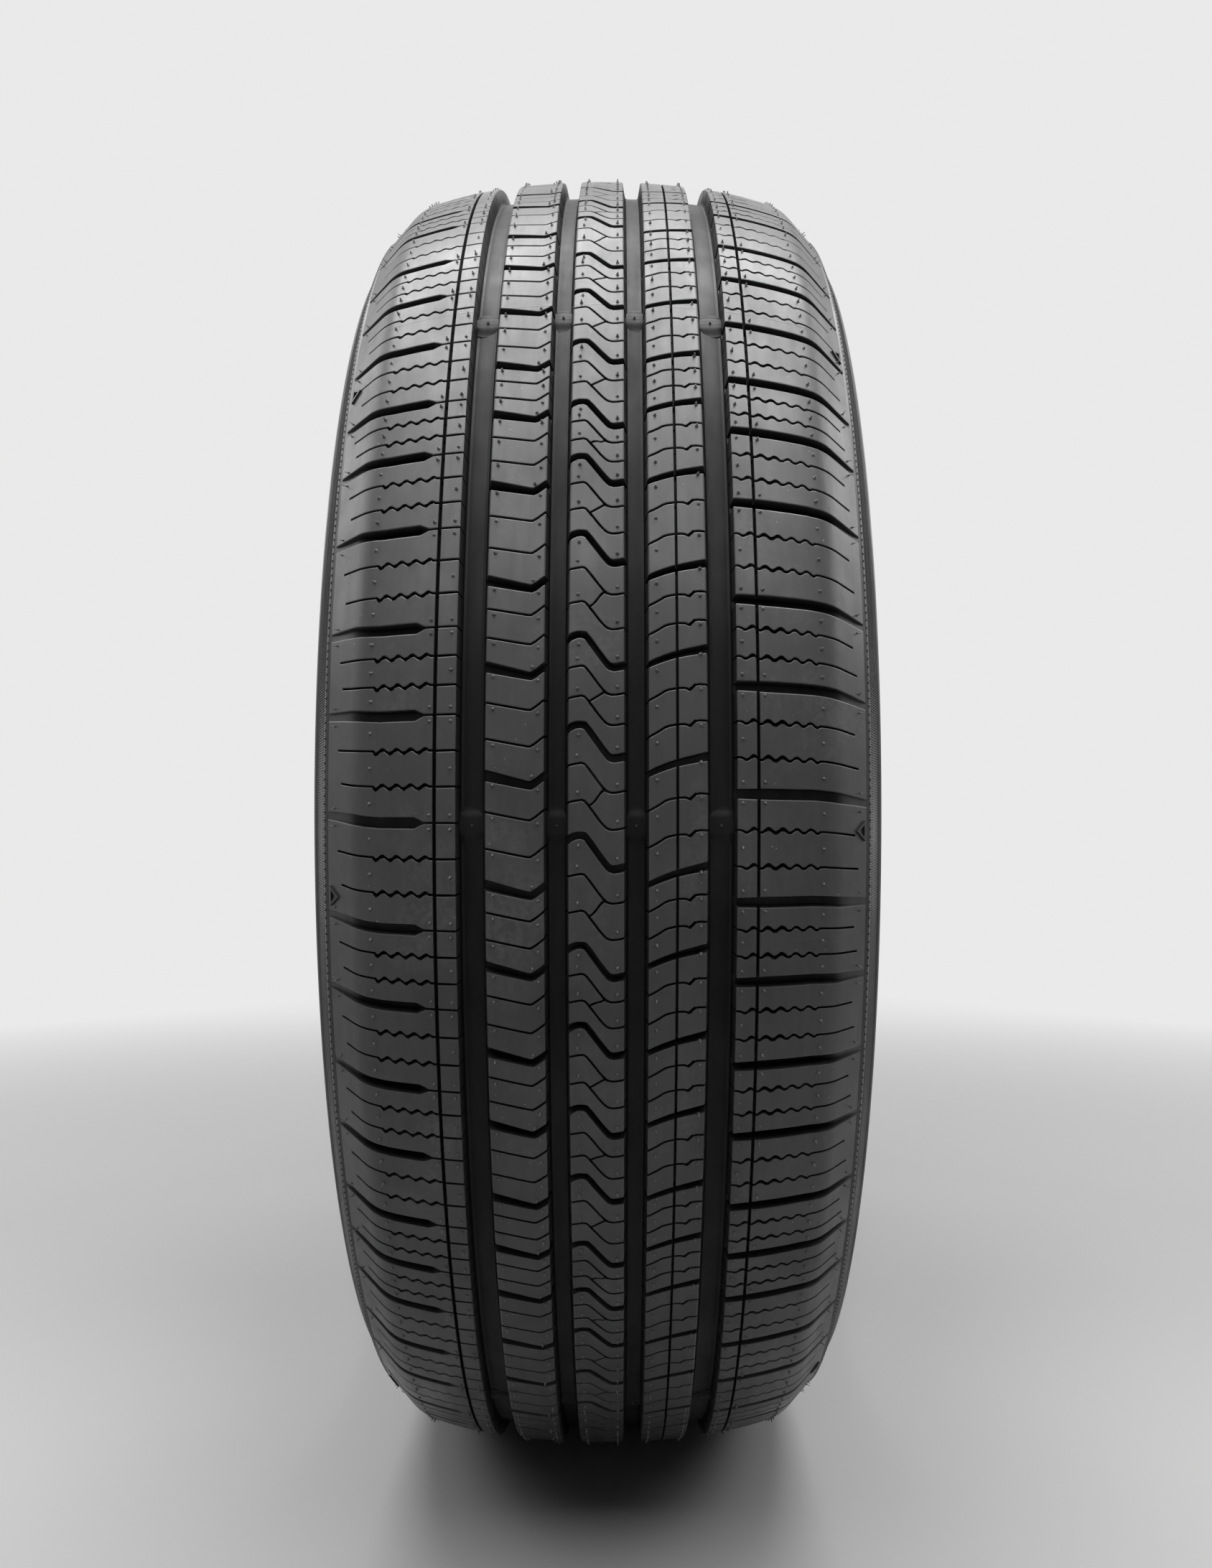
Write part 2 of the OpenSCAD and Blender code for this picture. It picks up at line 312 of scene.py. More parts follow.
class Rib:
    """A rib of the tread: its two sides, its cuts, its own fine grooves and the slant its cuts share."""

    def __init__(self, name, low, high, lead, slant, cuts, fines=(), pins=()):
        self.name, self.low, self.high, self.lead = name, low, high, lead
        self.slant, self.cuts, self.fines, self.pins = slant, cuts, fines, pins


def ribs_of(sizes):
    """The five ribs from left to right, with places and sizes in mm as they lie on the tread."""
    third, two_thirds = 1 / 3, 2 / 3
    inner = (sizes.inner_groove_place - sizes.inner_groove_width / 2) / MM
    rib_inner = (sizes.inner_groove_place + sizes.inner_groove_width / 2) / MM
    rib_outer = (sizes.outer_groove_place - sizes.outer_groove_width / 2) / MM
    shoulder = (sizes.outer_groove_place + sizes.outer_groove_width / 2) / MM
    edge = sizes.edge_place / MM
    fine, rib_fine = sizes.shoulder_fine_place / MM, sizes.rib_fine_place / MM
    deep, slit_deep, end_deep = sizes.cross_depth / MM, sizes.slit_depth / MM, sizes.end_depth / MM
    slit, groove_lip = sizes.slit_width / MM, 0.3
    # How far a rib's cuts run on into the main grooves beside it
    into = 2.2
    # Widths of the shoulders' slits, a bit wider where they zigzag
    steep = [(55, slit), (57, 1.15 * slit), (85, 1.15 * slit), (87, slit)]
    steep_left = [(-u, width) for u, width in reversed(steep)]

    def slit_cut(share, line, width=((0, slit),), shut=(False, False)):
        return Cut(share, line, width, [(0, slit_deep)], 0.28, shut)

    def slits(line, other=None, *more):
        """The two slits between a pitch's groove and the next one's."""
        return [slit_cut(third, line, *more), slit_cut(two_thirds, other or line, *more)]

    # Middle rib: a hump, a long slant and a level end, and a slash between the two slits
    snake = rounded([(-inner - into, 1.5), (-8.6, -1.6), (-5.0, -1.8), (-3.3, -0.3), (3.2, 9.0),
                     (5.6, 11.3), (8.2, 11.1), (inner + into, 9.9)])
    snake_slit = rounded([(-inner - into, 0.3), (-inner + 3.2, -0.9), (-4.9, -1.2), (-3.0, 0.9), (2.2, 8.1),
                          (4.8, 10.3), (8.2, 10.2), (inner + into, 9.0)])
    nominal = nominal_pitch(sizes) / MM
    slash = [(-2.9, two_thirds * nominal + 1.2), (3.1, third * nominal + 9.2)]
    middle = Rib("middle", -inner, inner, 0, snake, [
        Cut(0, snake, [(-inner, 2.9), (-4, 2.8), (0, 2.5), (3, 2.6), (7, 3.3), (inner, 3.3)], [(0, deep)], groove_lip),
        *slits(snake_slit), slit_cut(0, slash)],
        pins=[(-6.9, 0, 2.3), (-7.4, third, -3.9), (-7.2, two_thirds, -3.9)]
             + [(8.0, share, 7.2) for share in (0, third, two_thirds)])

    # Second rib: a long slope down to a knee, then a short rise
    knee = rounded([(-rib_outer - into, -0.5), (-26.6, 3.8), (-24.6, 4.0), (-rib_inner + into, -1.2)], 0.2)
    knee_slit = rounded([(-rib_outer - into, -0.4), (-26.8, 3.1), (-24.8, 3.2), (-rib_inner + into, -2.4)], 0.2)
    second = Rib("second", -rib_outer, -rib_inner, 3.9, knee, [
        Cut(0, knee, [(-rib_outer, 4.4), (-26, 3.3), (-rib_inner, 3.0)], [(0, deep)], groove_lip), *slits(knee_slit)],
        pins=[(-39.6, 0, 4.0), (-39.6, third, 2.6), (-39.6, two_thirds, 2.6), (-24.6, 0, 0.6),
              (-22.4, 0, 5.8), (-22.4, third, 4.6), (-22.4, two_thirds, 4.6)])

    # Fourth rib: a rise that levels off; its slits have a small step beyond the fine groove
    rise = rounded([(rib_inner - into, 1.2), (24.2, -1.8), (rib_fine, -4.2), (rib_outer + into, -7.2)])
    rise_slit = rounded([(rib_inner - into, 1.3), (23.4, -1.7), (26.6, -3.9), (rib_fine, -4.8), (34.2, -4.9),
                         (35.6, -4.1), (37.9, -6.5), (rib_outer + into, -6.3)], 0.2)
    fourth = Rib("fourth", rib_inner, rib_outer, 4, rise, [
        Cut(0, rise, [(rib_inner, 2.4), (rib_fine, 2.8), (rib_outer, 3.5)], [(0, deep)], groove_lip),
        *slits(rise_slit)], fines=[(rib_fine, 0.9)],
        pins=[(23.1, share, 2.6) for share in (0, third, two_thirds)]
             + [(40.0, 0, -4.2), (40.0, third, -4.6), (40.0, two_thirds, -4.6)])

    # Left shoulder: a wide slot that ends in a point, joined to the main groove by a narrow slit
    left_line = [(-edge, -2.9), (-100, -2.0), (-90, -0.5), (-84, 0), (-shoulder + into, 0)]
    slot_line = left_line[:4] + [(-66.4, 0)]
    left_zigzag = rounded([(-102.2, -2.0), (-94, -0.75), (-87.4, -0.35), (-86.5, -0.2)]
                          + zigzag(-85.4, -65.6, 5.66, 1.1, [(0, 0)])
                          + [(-63.9, 0.1), (-shoulder + into, -0.1)], 0.2)
    short_zigzag = [(u + (1.6 if k == 0 else 0), t) for k, (u, t) in enumerate(left_zigzag)]
    left = Rib("left_shoulder", -edge, -shoulder, 1, left_line, [
        Cut(0, slot_line, [(-edge, 3.2), (-96, 4.3), (-70, 4.5), (-66.4, 0.9)],
            [(-edge, 0.9), (-edge + 3, 1.9), (-97, end_deep), (-88, deep), (-70, deep), (-66.4, slit_deep)], 0.4),
        slit_cut(0, [(-67.6, 0), (-shoulder + into, 0)]),
        *slits(left_zigzag, short_zigzag, steep_left, (True, False))], fines=[(-fine, 1.3)],
        pins=[(u, 0, t) for u in (-64.2, -56) for t in (-3.0, 2.6)] + [(-56, 0.5, 0)]
             + [(-87.9, share, -0.4) for share in (1 / 6, 0.5, 5 / 6)] + [(-104, 0, t) for t in (-5.9, 1.4)])

    # Right shoulder: the groove opens into the main groove and bends down on the bevel
    right_line = [(shoulder - into, 0), (84, 0.4), (90, 0.9), (100, 2.3), (edge, 3.5)]
    right_base = [(shoulder, 0), (87, 0.9), (102, 2.9)]
    right_zigzag = rounded([(shoulder - into, 0), (55.4, 0)]
                           + zigzag(57.5, 85.4, 5.58, 1.1, right_base)
                           + [(86.6, 0.9), (94, 1.7), (101.6, 2.9)], 0.2)
    long_zigzag = right_zigzag[:-1] + [(103.2, 3.1)]
    right = Rib("right_shoulder", shoulder, edge, 2.8, right_line, [
        Cut(0, right_line, [(shoulder, 3.8), (66, 4.4), (94, 4.3), (edge, 3.0)],
            [(shoulder, deep), (88, deep), (97, end_deep), (edge - 3, 1.9), (edge, 0.9)], 0.4),
        *slits(right_zigzag, long_zigzag, steep, (False, True))], fines=[(fine, 1.1)],
        pins=[(u, 0, t) for t in (-4.4, 3.7) for u in (56, 64.6)] + [(56, 0.5, 0)]
             + [(87.8, share, 0.9) for share in (1 / 6, 0.5, 5 / 6)] + [(104, 0, t) for t in (-0.9, 7.0)])
    return [left, second, middle, fourth, right]


# Pitches

def pitch_factor(sizes, kind):
    """Length of a kind of pitch relative to a middling one."""
    return {"A": sizes.shortest_pitch, "B": sizes.short_pitch, "C": 1.0, "D": sizes.long_pitch}[kind]


def nominal_pitch(sizes):
    """Length of a middling pitch at the tread's radius."""
    total = sum(pitch_factor(sizes, kind) for kind in PITCH_ORDER)
    return 2 * math.pi * TREAD_RADIUS / total


def pitches(sizes):
    """For each pitch its starting angle and how much longer than a middling one are it and the one before it."""
    nominal, at, result = nominal_pitch(sizes), 0.0, []
    extras = [(pitch_factor(sizes, kind) - 1) * nominal for kind in PITCH_ORDER]
    for k, extra in enumerate(extras):
        result.append((sizes.first_pitch + at / TREAD_RADIUS, extra, extras[k - 1]))
        at += nominal + extra
    return result


def pitch_points(sizes, rib):
    """A point for each pitch of a rib, all at the axle, with its starting angle and its stretches."""
    turns, lead = pitches(sizes), math.radians(rib.lead)
    return mesh_from("starts", [(0, 0, 0)] * len(turns), [], {
        "start": [at - lead for at, _, _ in turns],
        "stretch": [own for _, own, _ in turns], "stretch_before": [before for _, _, before in turns]})


# Meshes

def new_object(name, mesh):
    """An object for a mesh, in the scene."""
    piece = bpy.data.objects.new(name, mesh)
    bpy.context.scene.collection.objects.link(piece)
    return piece


def mesh_from(name, verts, faces, values=None):
    """A mesh with named numbers on its points."""
    mesh = bpy.data.meshes.new(name)
    mesh.from_pydata([tuple(v) for v in verts], [], faces)
    for key, numbers in (values or {}).items():
        mesh.attributes.new(key, "FLOAT", "POINT").data.foreach_set("value", numbers)
    mesh.update()
    return mesh


def round_axle(radius, across, turn):
    """The point at a distance from the axle, turned downwards from the side that faces +X."""
    return radius * math.cos(turn), across, -radius * math.sin(turn)


def circle(sides):
    """Cosine and sine of each corner of an even polygon."""
    return [(math.cos(2 * math.pi * k / sides), math.sin(2 * math.pi * k / sides)) for k in range(sides)]


def flipped(faces):
    """Faces that look the other way."""
    return [face[::-1] for face in faces]


def stacked(rings, sides):
    """Faces of a stack of rings of points: the bottom and the walls from each ring to the next."""
    faces = [tuple(range(sides))[::-1]]
    for first in range(0, (rings - 1) * sides, sides):
        for k in range(sides):
            a, b = first + k, first + (k + 1) % sides
            faces.append((a, b, b + sides, a + sides))
    return faces


def turned(name, outline, turns):
    """A closed ring turned about the axle from an outline of (across, radius) points that runs anticlockwise."""
    count = len(outline)
    verts = [round_axle(r, y, 2 * math.pi * k / turns) for k in range(turns) for y, r in outline]
    faces = []
    for here in range(0, turns * count, count):
        after = (here + count) % (turns * count)
        for j in range(count):
            nxt = (j + 1) % count
            faces.append((here + j, after + j, after + nxt, here + nxt))
    return mesh_from(name, verts, faces)


def tile_mesh(rib, sizes):
    """One middling pitch of a rib laid flat: x along, y across, z the radius, with each point's share of the pitch and
    its painted shade.
    """
    nominal, surface = nominal_pitch(sizes) / MM, TreadSurface(sizes)
    first, last = -nominal / 6, nominal * 5 / 6
    borders = rib_borders(rib, sizes)
    lanes = lane_depths(rib, sizes)
    # Places across at which a straight line runs the whole pitch
    fixed = sorted({u for lane in lanes for u, _ in lane} | {u for u, _ in borders})
    corners = [side * c / MM for c in surface.corners() for side in (-1, 1)]
    marks = sorted([rib.low, rib.high] + [c for c in corners if rib.low < c < rib.high])
    across = set(fixed)
    for a, b in zip(marks, marks[1:]):
        across |= set(evenly(a, b, WIDEST_STEP))
    across = sorted(across)
    across = [u for u, before in zip(across, [-1e9] + across) if u - before > LEAST_STEP or u in fixed]
    rows = evenly(first, last, nominal / 6)

    def centre(cut, u):
        return cut.share * nominal + between(cut.line, u) - between(rib.slant, u)

    points, edges = [], []

    def add_line(line):
        start = len(points)
        points.extend(line)
        edges.extend((start + k, start + k + 1) for k in range(len(line) - 1))

    for u in fixed:
        add_line([(q, u) for q in rows])
    for cut in rib.cuts:
        places = cut.places([u for u, _ in rib.slant] + across)
        for kind in ("lip", "edge", "floor"):
            def beyond(u):
                return {"lip": cut.lip, "edge": 0.0, "floor": -cut.wall(u)}[kind]
            for side in (-1, 1):
                line = [(centre(cut, u) + side * (cut.half(u) + beyond(u)), u) for u in places]
                for end, way in ((0, -1), (-1, 1)):
                    if cut.shut[end]:
                        line[end] = (line[end][0], line[end][1] + way * beyond(places[end]))
                add_line(line)
            # Lines across the ends that are shut, from one side's line to the other's
            count = len(line)
            edges += [(len(points) - 2 * count + at, len(points) - count + at)
                      for at, shut in zip((0, count - 1), cut.shut) if shut]

    def outside(cut, q, u):
        """Distance from a cut's edge, less than nothing inside it."""
        away = abs(q - centre(cut, u)) - cut.half(u)
        if cut.shut[0]:
            away = max(away, cut.line[0][0] - u)
        if cut.shut[1]:
            away = max(away, u - cut.line[-1][0])
        if cut.line[0][0] - 1e-3 <= u <= cut.line[-1][0] + 1e-3 or cut.shut[0] or cut.shut[1]:
            return away
        return 1e3

    # Points between the lines, on the tile's two ends and wherever no cut is near
    for u in (u for u in across if u not in fixed):
        points += [(q, u) for q in rows if q in (rows[0], rows[-1])
                   or min(outside(cut, q, u) - cut.lip for cut in rib.cuts) > CLEAR_OF_CUTS]

    out_points, _, out_faces, *_ = delaunay_2d_cdt([Vector(p) for p in points], edges, [], 0, 1e-4, False)

    def depth(q, u):
        deepest = max(between(lane, u) for lane in lanes)
        for cut in rib.cuts:
            away = outside(cut, q, u)
            if away < cut.lip:
                drop, full, wall = 0.45 * cut.lip, between(cut.depths, u), cut.wall(u)
                deepest = max(deepest, between([(-wall, full), (0, drop), (cut.lip, 0)], away))
        return deepest

    shares = [(first, -1 / 6)] + [(k * nominal / PARTS_PER_PITCH + near, k / PARTS_PER_PITCH)
                                  for k in range(PARTS_PER_PITCH) for near in (-UNSTRETCHED, UNSTRETCHED)]
    shares.append((last, 5 / 6))

    def shaded(q, u, down):
        """Painted shade of a point in a cut, from 0 to 1: soon in a narrow one, slowly in a wide one."""
        narrow = any(cut.half(u) < 1 and outside(cut, q, u) < cut.lip for cut in rib.cuts)
        narrow = narrow or any(abs(u - place) < width / 2 + 0.2 for place, width in rib.fines)
        start, run = between([(88, 0.1), (96, 1.3)], abs(u)), between([(88, 1.4), (96, 4)], abs(u))
        return min(1.0, max(0.0, down / 1.2 if narrow else (down - start) / run))

    # sunk holds each point's painted shade, which the rubber uses to darken its colour deep in the cuts
    verts, share, sunk = [], [], []
    for q, u in out_points:
        down = depth(q, u)
        r = surface.radius(u * MM) / MM - down
        verts.append(((q + between(rib.slant, u)) * MM, u * MM, r * MM))
        share.append(between(shares, q))
        sunk.append(shaded(q, u, down))
    flat = [tuple(p) for p in out_points]

    def area(face):
        (ax, ay), (bx, by), (cx, cy) = (flat[i] for i in face)
        return (bx - ax) * (cy - ay) - (by - ay) * (cx - ax)

    faces = [tuple(face) if area(face) > 0 else tuple(face[::-1]) for face in out_faces if abs(area(face)) > 1e-7]

    # Skirts down from both sides and a bottom, so the finished ring is closed
    bottoms = []
    for (u, low), way in zip(borders, (-1, 1)):
        top = sorted((i for i, p in enumerate(flat) if abs(p[1] - u) < 1e-4), key=lambda i: flat[i][0])
        bottom = range(len(verts), len(verts) + len(top))
        verts += [(verts[i][0], verts[i][1], low * MM) for i in top]
        share += [share[i] for i in top]
        sunk += [1.0] * len(top)
        walls = list(zip(top, top[1:], bottom[1:], bottom))
        faces += walls if way == 1 else flipped(walls)
        bottoms.append(list(bottom))
    faces.append(tuple(bottoms[0][::-1] + bottoms[1]))
    return mesh_from(rib.name + "_tile", verts, faces, {"share": share, "sunk": sunk})


def rib_borders(rib, sizes):
    """Outer limits of a rib's ring and the heights of its bottom there, in mm from its lower side to its higher one.

    A limit is the middle of a main groove, or the shoulder's edge.
    """
    surface, limits = TreadSurface(sizes), []
    for side in (rib.low, rib.high):
        at, inner, outer = abs(side), sizes.inner_groove_place / MM, sizes.outer_groove_place / MM
        limit, thickness = side, 4.0
        if at < 1.5 * outer:
            # The nearer main groove's middle
            limit = math.copysign(outer if 2 * at > inner + outer else inner, side)
            thickness = sizes.groove_depth / MM + 2.5
        limits.append((limit, surface.radius(limit * MM) / MM - thickness))
    return limits


def lane_depths(rib, sizes):
    """Depths across the rib of the main grooves beside it and of its own fine grooves, as lists of (across, depth)."""
    depth, run = sizes.groove_depth / MM, sizes.groove_depth / MM * math.tan(sizes.groove_draft)
    (low, _), (high, _) = rib_borders(rib, sizes)
    lanes = []
    # Wall of a main groove: how far out from the rib's side and how deep
    steps = [(-0.5, 0), (0, 0.3), (run, depth - 1.1), (run + 0.45, depth - 0.25), (run + 1.5, depth)]
    if abs(low - rib.low) > 1:
        lanes.append(sorted([(rib.low - x, d) for x, d in steps] + [(low, depth)]))
    if abs(high - rib.high) > 1:
        lanes.append([(rib.high + x, d) for x, d in steps] + [(high, depth)])
    for place, width in rib.fines:
        half, deep = width / 2, sizes.fine_groove_depth / MM
        lanes.append([(place - half - 0.15, 0), (place - half + 0.05, 0.4), (place - half + 0.15, deep),
                      (place + half - 0.15, deep), (place + half - 0.05, 0.4), (place + half + 0.15, 0)])
    return lanes


# Node trees

class Net:
    """A node tree being built: its methods add nodes, fed by sockets or plain values."""

    def __init__(self, tree):
        self.tree = tree

    def node(self, kind, inputs=(), **settings):
        """Adds a node with its settings; its inputs are given in order, or by name or number."""
        made = self.tree.nodes.new(kind)
        for key, value in settings.items():
            setattr(made, key, value)
        self.feed(made, inputs)
        return made

    def feed(self, made, inputs):
        """Links a node's inputs to sockets or sets them to plain values."""
        for key, value in inputs.items() if isinstance(inputs, dict) else enumerate(inputs):
            if isinstance(value, bpy.types.NodeSocket):
                self.tree.links.new(value, made.inputs[key])
            else:
                made.inputs[key].default_value = value

    def maths(self, operation, *values):
        return self.node("ShaderNodeMath", values, operation=operation).outputs[0]

    def plus(self, *values):
        return self.maths("ADD", *values)

    def times(self, *values):
        return self.maths("MULTIPLY", *values)

    def blend(self, first, share, second, other):
        """Sum of two numbers, each times its share."""
        return self.plus(self.times(first, share), self.times(second, other))

    def vector(self, operation, *values):
        return self.node("ShaderNodeVectorMath", values, operation=operation).outputs[0]

    def joined(self, x=0.0, y=0.0, z=0.0):
        return self.node("ShaderNodeCombineXYZ", (x, y, z)).outputs[0]

    def parts(self, vector):
        return self.node("ShaderNodeSeparateXYZ", [vector]).outputs

    def named(self, key):
        """A named number of the points."""
        return self.node("GeometryNodeInputNamedAttribute", {"Name": key}, data_type="FLOAT").outputs["Attribute"]

    def place(self):
        return self.node("GeometryNodeInputPosition").outputs[0]

    def geometry(self, kind, **inputs):
        """Adds a geometry node and returns its first output."""
        return self.node("GeometryNode" + kind, inputs).outputs[0]

    def shape(self, chosen):
        return self.node("GeometryNodeObjectInfo", {"Object": chosen}).outputs["Geometry"]

    def coords(self):
        return self.node("ShaderNodeTexCoord").outputs["Object"]

    def noise(self, coords, scale, detail=3.0, roughness=0.55):
        """A noise texture's number."""
        return self.node("ShaderNodeTexNoise", {"Vector": coords, "Scale": scale, "Detail": detail,
                                                "Roughness": roughness}).outputs["Fac"]

    def spread(self, value, low, high, to_low=0.0, to_high=1.0):
        """Maps a number from one range to another, clamped."""
        return self.node("ShaderNodeMapRange", (value, low, high, to_low, to_high)).outputs["Result"]


def shared(name, kind, inputs, outputs, build):
    """The node group of that name, built the first time it is asked for."""
    if name not in bpy.data.node_groups:
        tree = bpy.data.node_groups.new(name, kind)
        for direction, sockets in (("INPUT", inputs), ("OUTPUT", outputs)):
            for label, socket in sockets.items():
                tree.interface.new_socket(name=label, in_out=direction, socket_type="NodeSocket" + socket)
        net = Net(tree)
        net.node("NodeGroupOutput", build(net, net.node("NodeGroupInput").outputs))
    return bpy.data.node_groups[name]


def geometry_tree(name, inputs, build):
    """A geometry tree with named inputs after its geometry."""
    return shared(name, "GeometryNodeTree", {"Geometry": "Geometry", **inputs}, {"Geometry": "Geometry"}, build)


def build_bend(net, given):
    """Bends flat pitches round the axle and rests them on the ground. Shared by the ribs and the pins."""
    x, y, z = net.parts(net.place())
    share = net.named("share")
    stretch = net.plus(net.times(net.maths("MAXIMUM", share, 0.0), net.named("stretch")),
                       net.times(net.maths("MINIMUM", share, 0.0), net.named("stretch_before")))
    turn = net.plus(net.named("start"), net.maths("DIVIDE", net.plus(x, stretch), given["Tread radius"]))
    down = net.times(z, net.maths("SINE", turn))
    height = net.maths("MAXIMUM", net.times(down, -1.0), net.times(given["Ground"], -1.0))
    place = net.joined(net.times(z, net.maths("COSINE", turn)), y, height)
    return [net.geometry("SetPosition", Geometry=given["Geometry"], Position=place)]


def pitched(net, given):
    """Puts the flat tile on each pitch, makes it real and bends it; returns the geometry."""
    placed = net.geometry("InstanceOnPoints", Points=given["Geometry"], Instance=net.shape(given["Tile"]))
    wanted = {"Tread radius": "Float", "Ground": "Float"}
    return net.node("GeometryNodeGroup", {"Geometry": net.geometry("RealizeInstances", Geometry=placed),
                                          **{label: given[label] for label in wanted}},
                    node_tree=geometry_tree("Bend round the axle", wanted, build_bend)).outputs[0]


def finished(net, given, shape):
    """Ends a tree: makes instances real, marks sharp edges and sets the material."""
    smooth = net.node("GeometryNodeSetShadeSmooth", [net.geometry("RealizeInstances", Geometry=shape)], domain="FACE")
    bent = net.node("GeometryNodeInputMeshEdgeAngle").outputs["Unsigned Angle"]
    sharp = net.node("FunctionNodeCompare", {"A": bent, "B": given["Crease"]}, data_type="FLOAT",
                     operation="GREATER_THAN").outputs["Result"]
    edges = net.node("GeometryNodeSetShadeSmooth", {"Geometry": smooth.outputs[0], "Selection": sharp,
                                                    "Shade Smooth": False}, domain="EDGE")
    return [net.geometry("SetMaterial", Geometry=edges.outputs[0], Material=given["Material"])]


FINISH_INPUTS = {"Crease": "Float", "Material": "Material"}
PITCH_INPUTS = {"Tile": "Object", "Tread radius": "Float", "Ground": "Float", **FINISH_INPUTS}


def build_rib(net, given):
    """Makes a rib of the tread from one flat pitch, welded at the seams."""
    return finished(net, given, net.geometry("MergeByDistance", Geometry=pitched(net, given), Distance=1e-5))


def build_pins(net, given):
    """Stands pins on the tread, each with its own length and lean."""
    # Outward direction: away from the axle, tipped by the tread's slope, with a random lean
    out = net.vector("NORMALIZE", net.vector("MULTIPLY", net.place(), (1, 0, 1)))
    tipped = net.vector("ADD", out, net.joined(y=net.maths("TANGENT", net.named("slope"))))
    chance = net.node("FunctionNodeRandomValue", {0: (-1, -1, -1), 1: (1, 1, 1), "Seed": given["Seed"]},
                      data_type="FLOAT_VECTOR").outputs["Value"]
    lean = net.node("ShaderNodeVectorMath", {0: chance, "Scale": net.times(given["Lean"], net.named("bendy"))},
                    operation="SCALE").outputs[0]
    aim = net.node("FunctionNodeAlignRotationToVector", {"Vector": net.vector("ADD", tipped, lean)}, axis="Z")
    # Inputs 2 and 3 are the least and the most of a plain number
    longer = net.node("FunctionNodeRandomValue", {2: 0.55, 3: 1.2, "Seed": given["Seed"]},
                      data_type="FLOAT").outputs[1]
    size = net.joined(net.named("thick"), net.named("thick"), net.times(net.named("tall"), longer))
    return finished(net, given, net.geometry("InstanceOnPoints", Points=pitched(net, given),
                                             Instance=net.shape(given["Pin"]), Rotation=aim.outputs[0], Scale=size))


def build_round(net, given):
    """Repeats one small shape evenly round the axle."""
    line = net.node("GeometryNodeMeshLine", {"Count": given["Count"], "Offset": (0, 0, 0)}, mode="OFFSET")
    index = net.node("GeometryNodeInputIndex").outputs[0]
    turn = net.maths("DIVIDE", net.times(index, 2 * math.pi), given["Count"])
    spin = net.node("FunctionNodeEulerToRotation", [net.joined(y=turn)]).outputs[0]
    return finished(net, given, net.geometry("InstanceOnPoints", Points=line.outputs[0],
                                             Instance=net.shape(given["Shape"]), Rotation=spin))


def dropped(piece):
    """Removes a helper object and its mesh."""
    old = piece.data
    bpy.data.objects.remove(piece)
    bpy.data.meshes.remove(old)


def grown(name, base, tree, inputs, helpers=()):
    """Runs a tree on a mesh and keeps the result as a plain mesh in a new object."""
    source = new_object(name + "_base", base)
    modifier = source.modifiers.new("Grow", "NODES")
    modifier.node_group = tree
    for socket in tree.interface.items_tree:
        if socket.item_type == "SOCKET" and socket.in_out == "INPUT" and socket.name in inputs:
            modifier[socket.identifier] = inputs[socket.name]
    depsgraph = bpy.context.evaluated_depsgraph_get()
    depsgraph.update()
    mesh = bpy.data.meshes.new_from_object(source.evaluated_get(depsgraph), depsgraph=depsgraph)
    mesh.name = name
    source.modifiers.remove(modifier)
    for spare in (source, *helpers):
        dropped(spare)
    for key in ("share", "start", "stretch", "stretch_before", "slope", "bendy", "thick", "tall"):
        if key in mesh.attributes:
            mesh.attributes.remove(mesh.attributes[key])
    if not mesh.polygons:
        raise RuntimeError(name + " came out empty")
    return new_object(name, mesh)


def seated(piece):
    """Parents a finished piece to the tyre's body and hides the CAD solid that it stands for."""
    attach(piece, BODY)
    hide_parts("tyre")


def finished_piece(name, mesh, material, crease):
    """Makes a piece from a mesh, smooth but for edges that turn by more than the crease angle."""
    mesh.polygons.foreach_set("use_smooth", [True] * len(mesh.polygons))
    mesh.set_sharp_from_angle(angle=crease)
    mesh.materials.append(material)
    seated(new_object(name, mesh))


# Rubber

def shader_group(net, name, inputs, outputs, build):
    """A shader group's node with its number inputs; returns its outputs."""
    tree = shared(name, "ShaderNodeTree", dict.fromkeys(inputs, "Float"), dict.fromkeys(outputs, "Float"), build)
    return net.node("ShaderNodeGroup", inputs, node_tree=tree).outputs


def build_grain(net, given):
    """Moulded grain: a fine height and a slow mottling."""
    coords = net.node("ShaderNodeVectorMath", {0: net.coords(), "Scale": given["Fineness"]},
                      operation="SCALE").outputs[0]
    height = net.blend(net.noise(coords, 1500, 4.0, 0.6), 0.7, net.noise(coords, 260), 0.5)
    mottle = net.blend(net.noise(coords, 34, 5.0, 0.62), 0.6, net.noise(coords, 7, 2.0), 0.4)
    return height, net.spread(mottle, 0.36, 0.64)


def build_dust(net, given):
    """Small pale specks, and a faint bloom in patches of streaks."""
    coords = net.coords()
    cells = net.node("ShaderNodeTexVoronoi", {"Vector": coords, "Scale": 300, "Randomness": 1.0}).outputs
    dot = net.spread(cells["Distance"], 0.05, 0.1, 1, 0)
    chance = net.node("ShaderNodeSeparateColor", [cells["Color"]]).outputs[0]
    swept = net.times(net.maths("GREATER_THAN", chance, 0.72),
                      net.spread(net.noise(coords, 11, 3.0, 0.6), 0.42, 0.6, 0.15, 1))
    patches = net.spread(net.noise(coords, 18, 6.0, 0.65), 0.52, 0.72)
    streaks = net.spread(net.noise(coords, 420, 3.0, 0.6), 0.35, 0.7)
    return [net.maths("MAXIMUM", net.times(net.times(dot, swept), given["Speck amount"]),
                      net.times(net.times(patches, streaks), given["Bloom amount"]))]


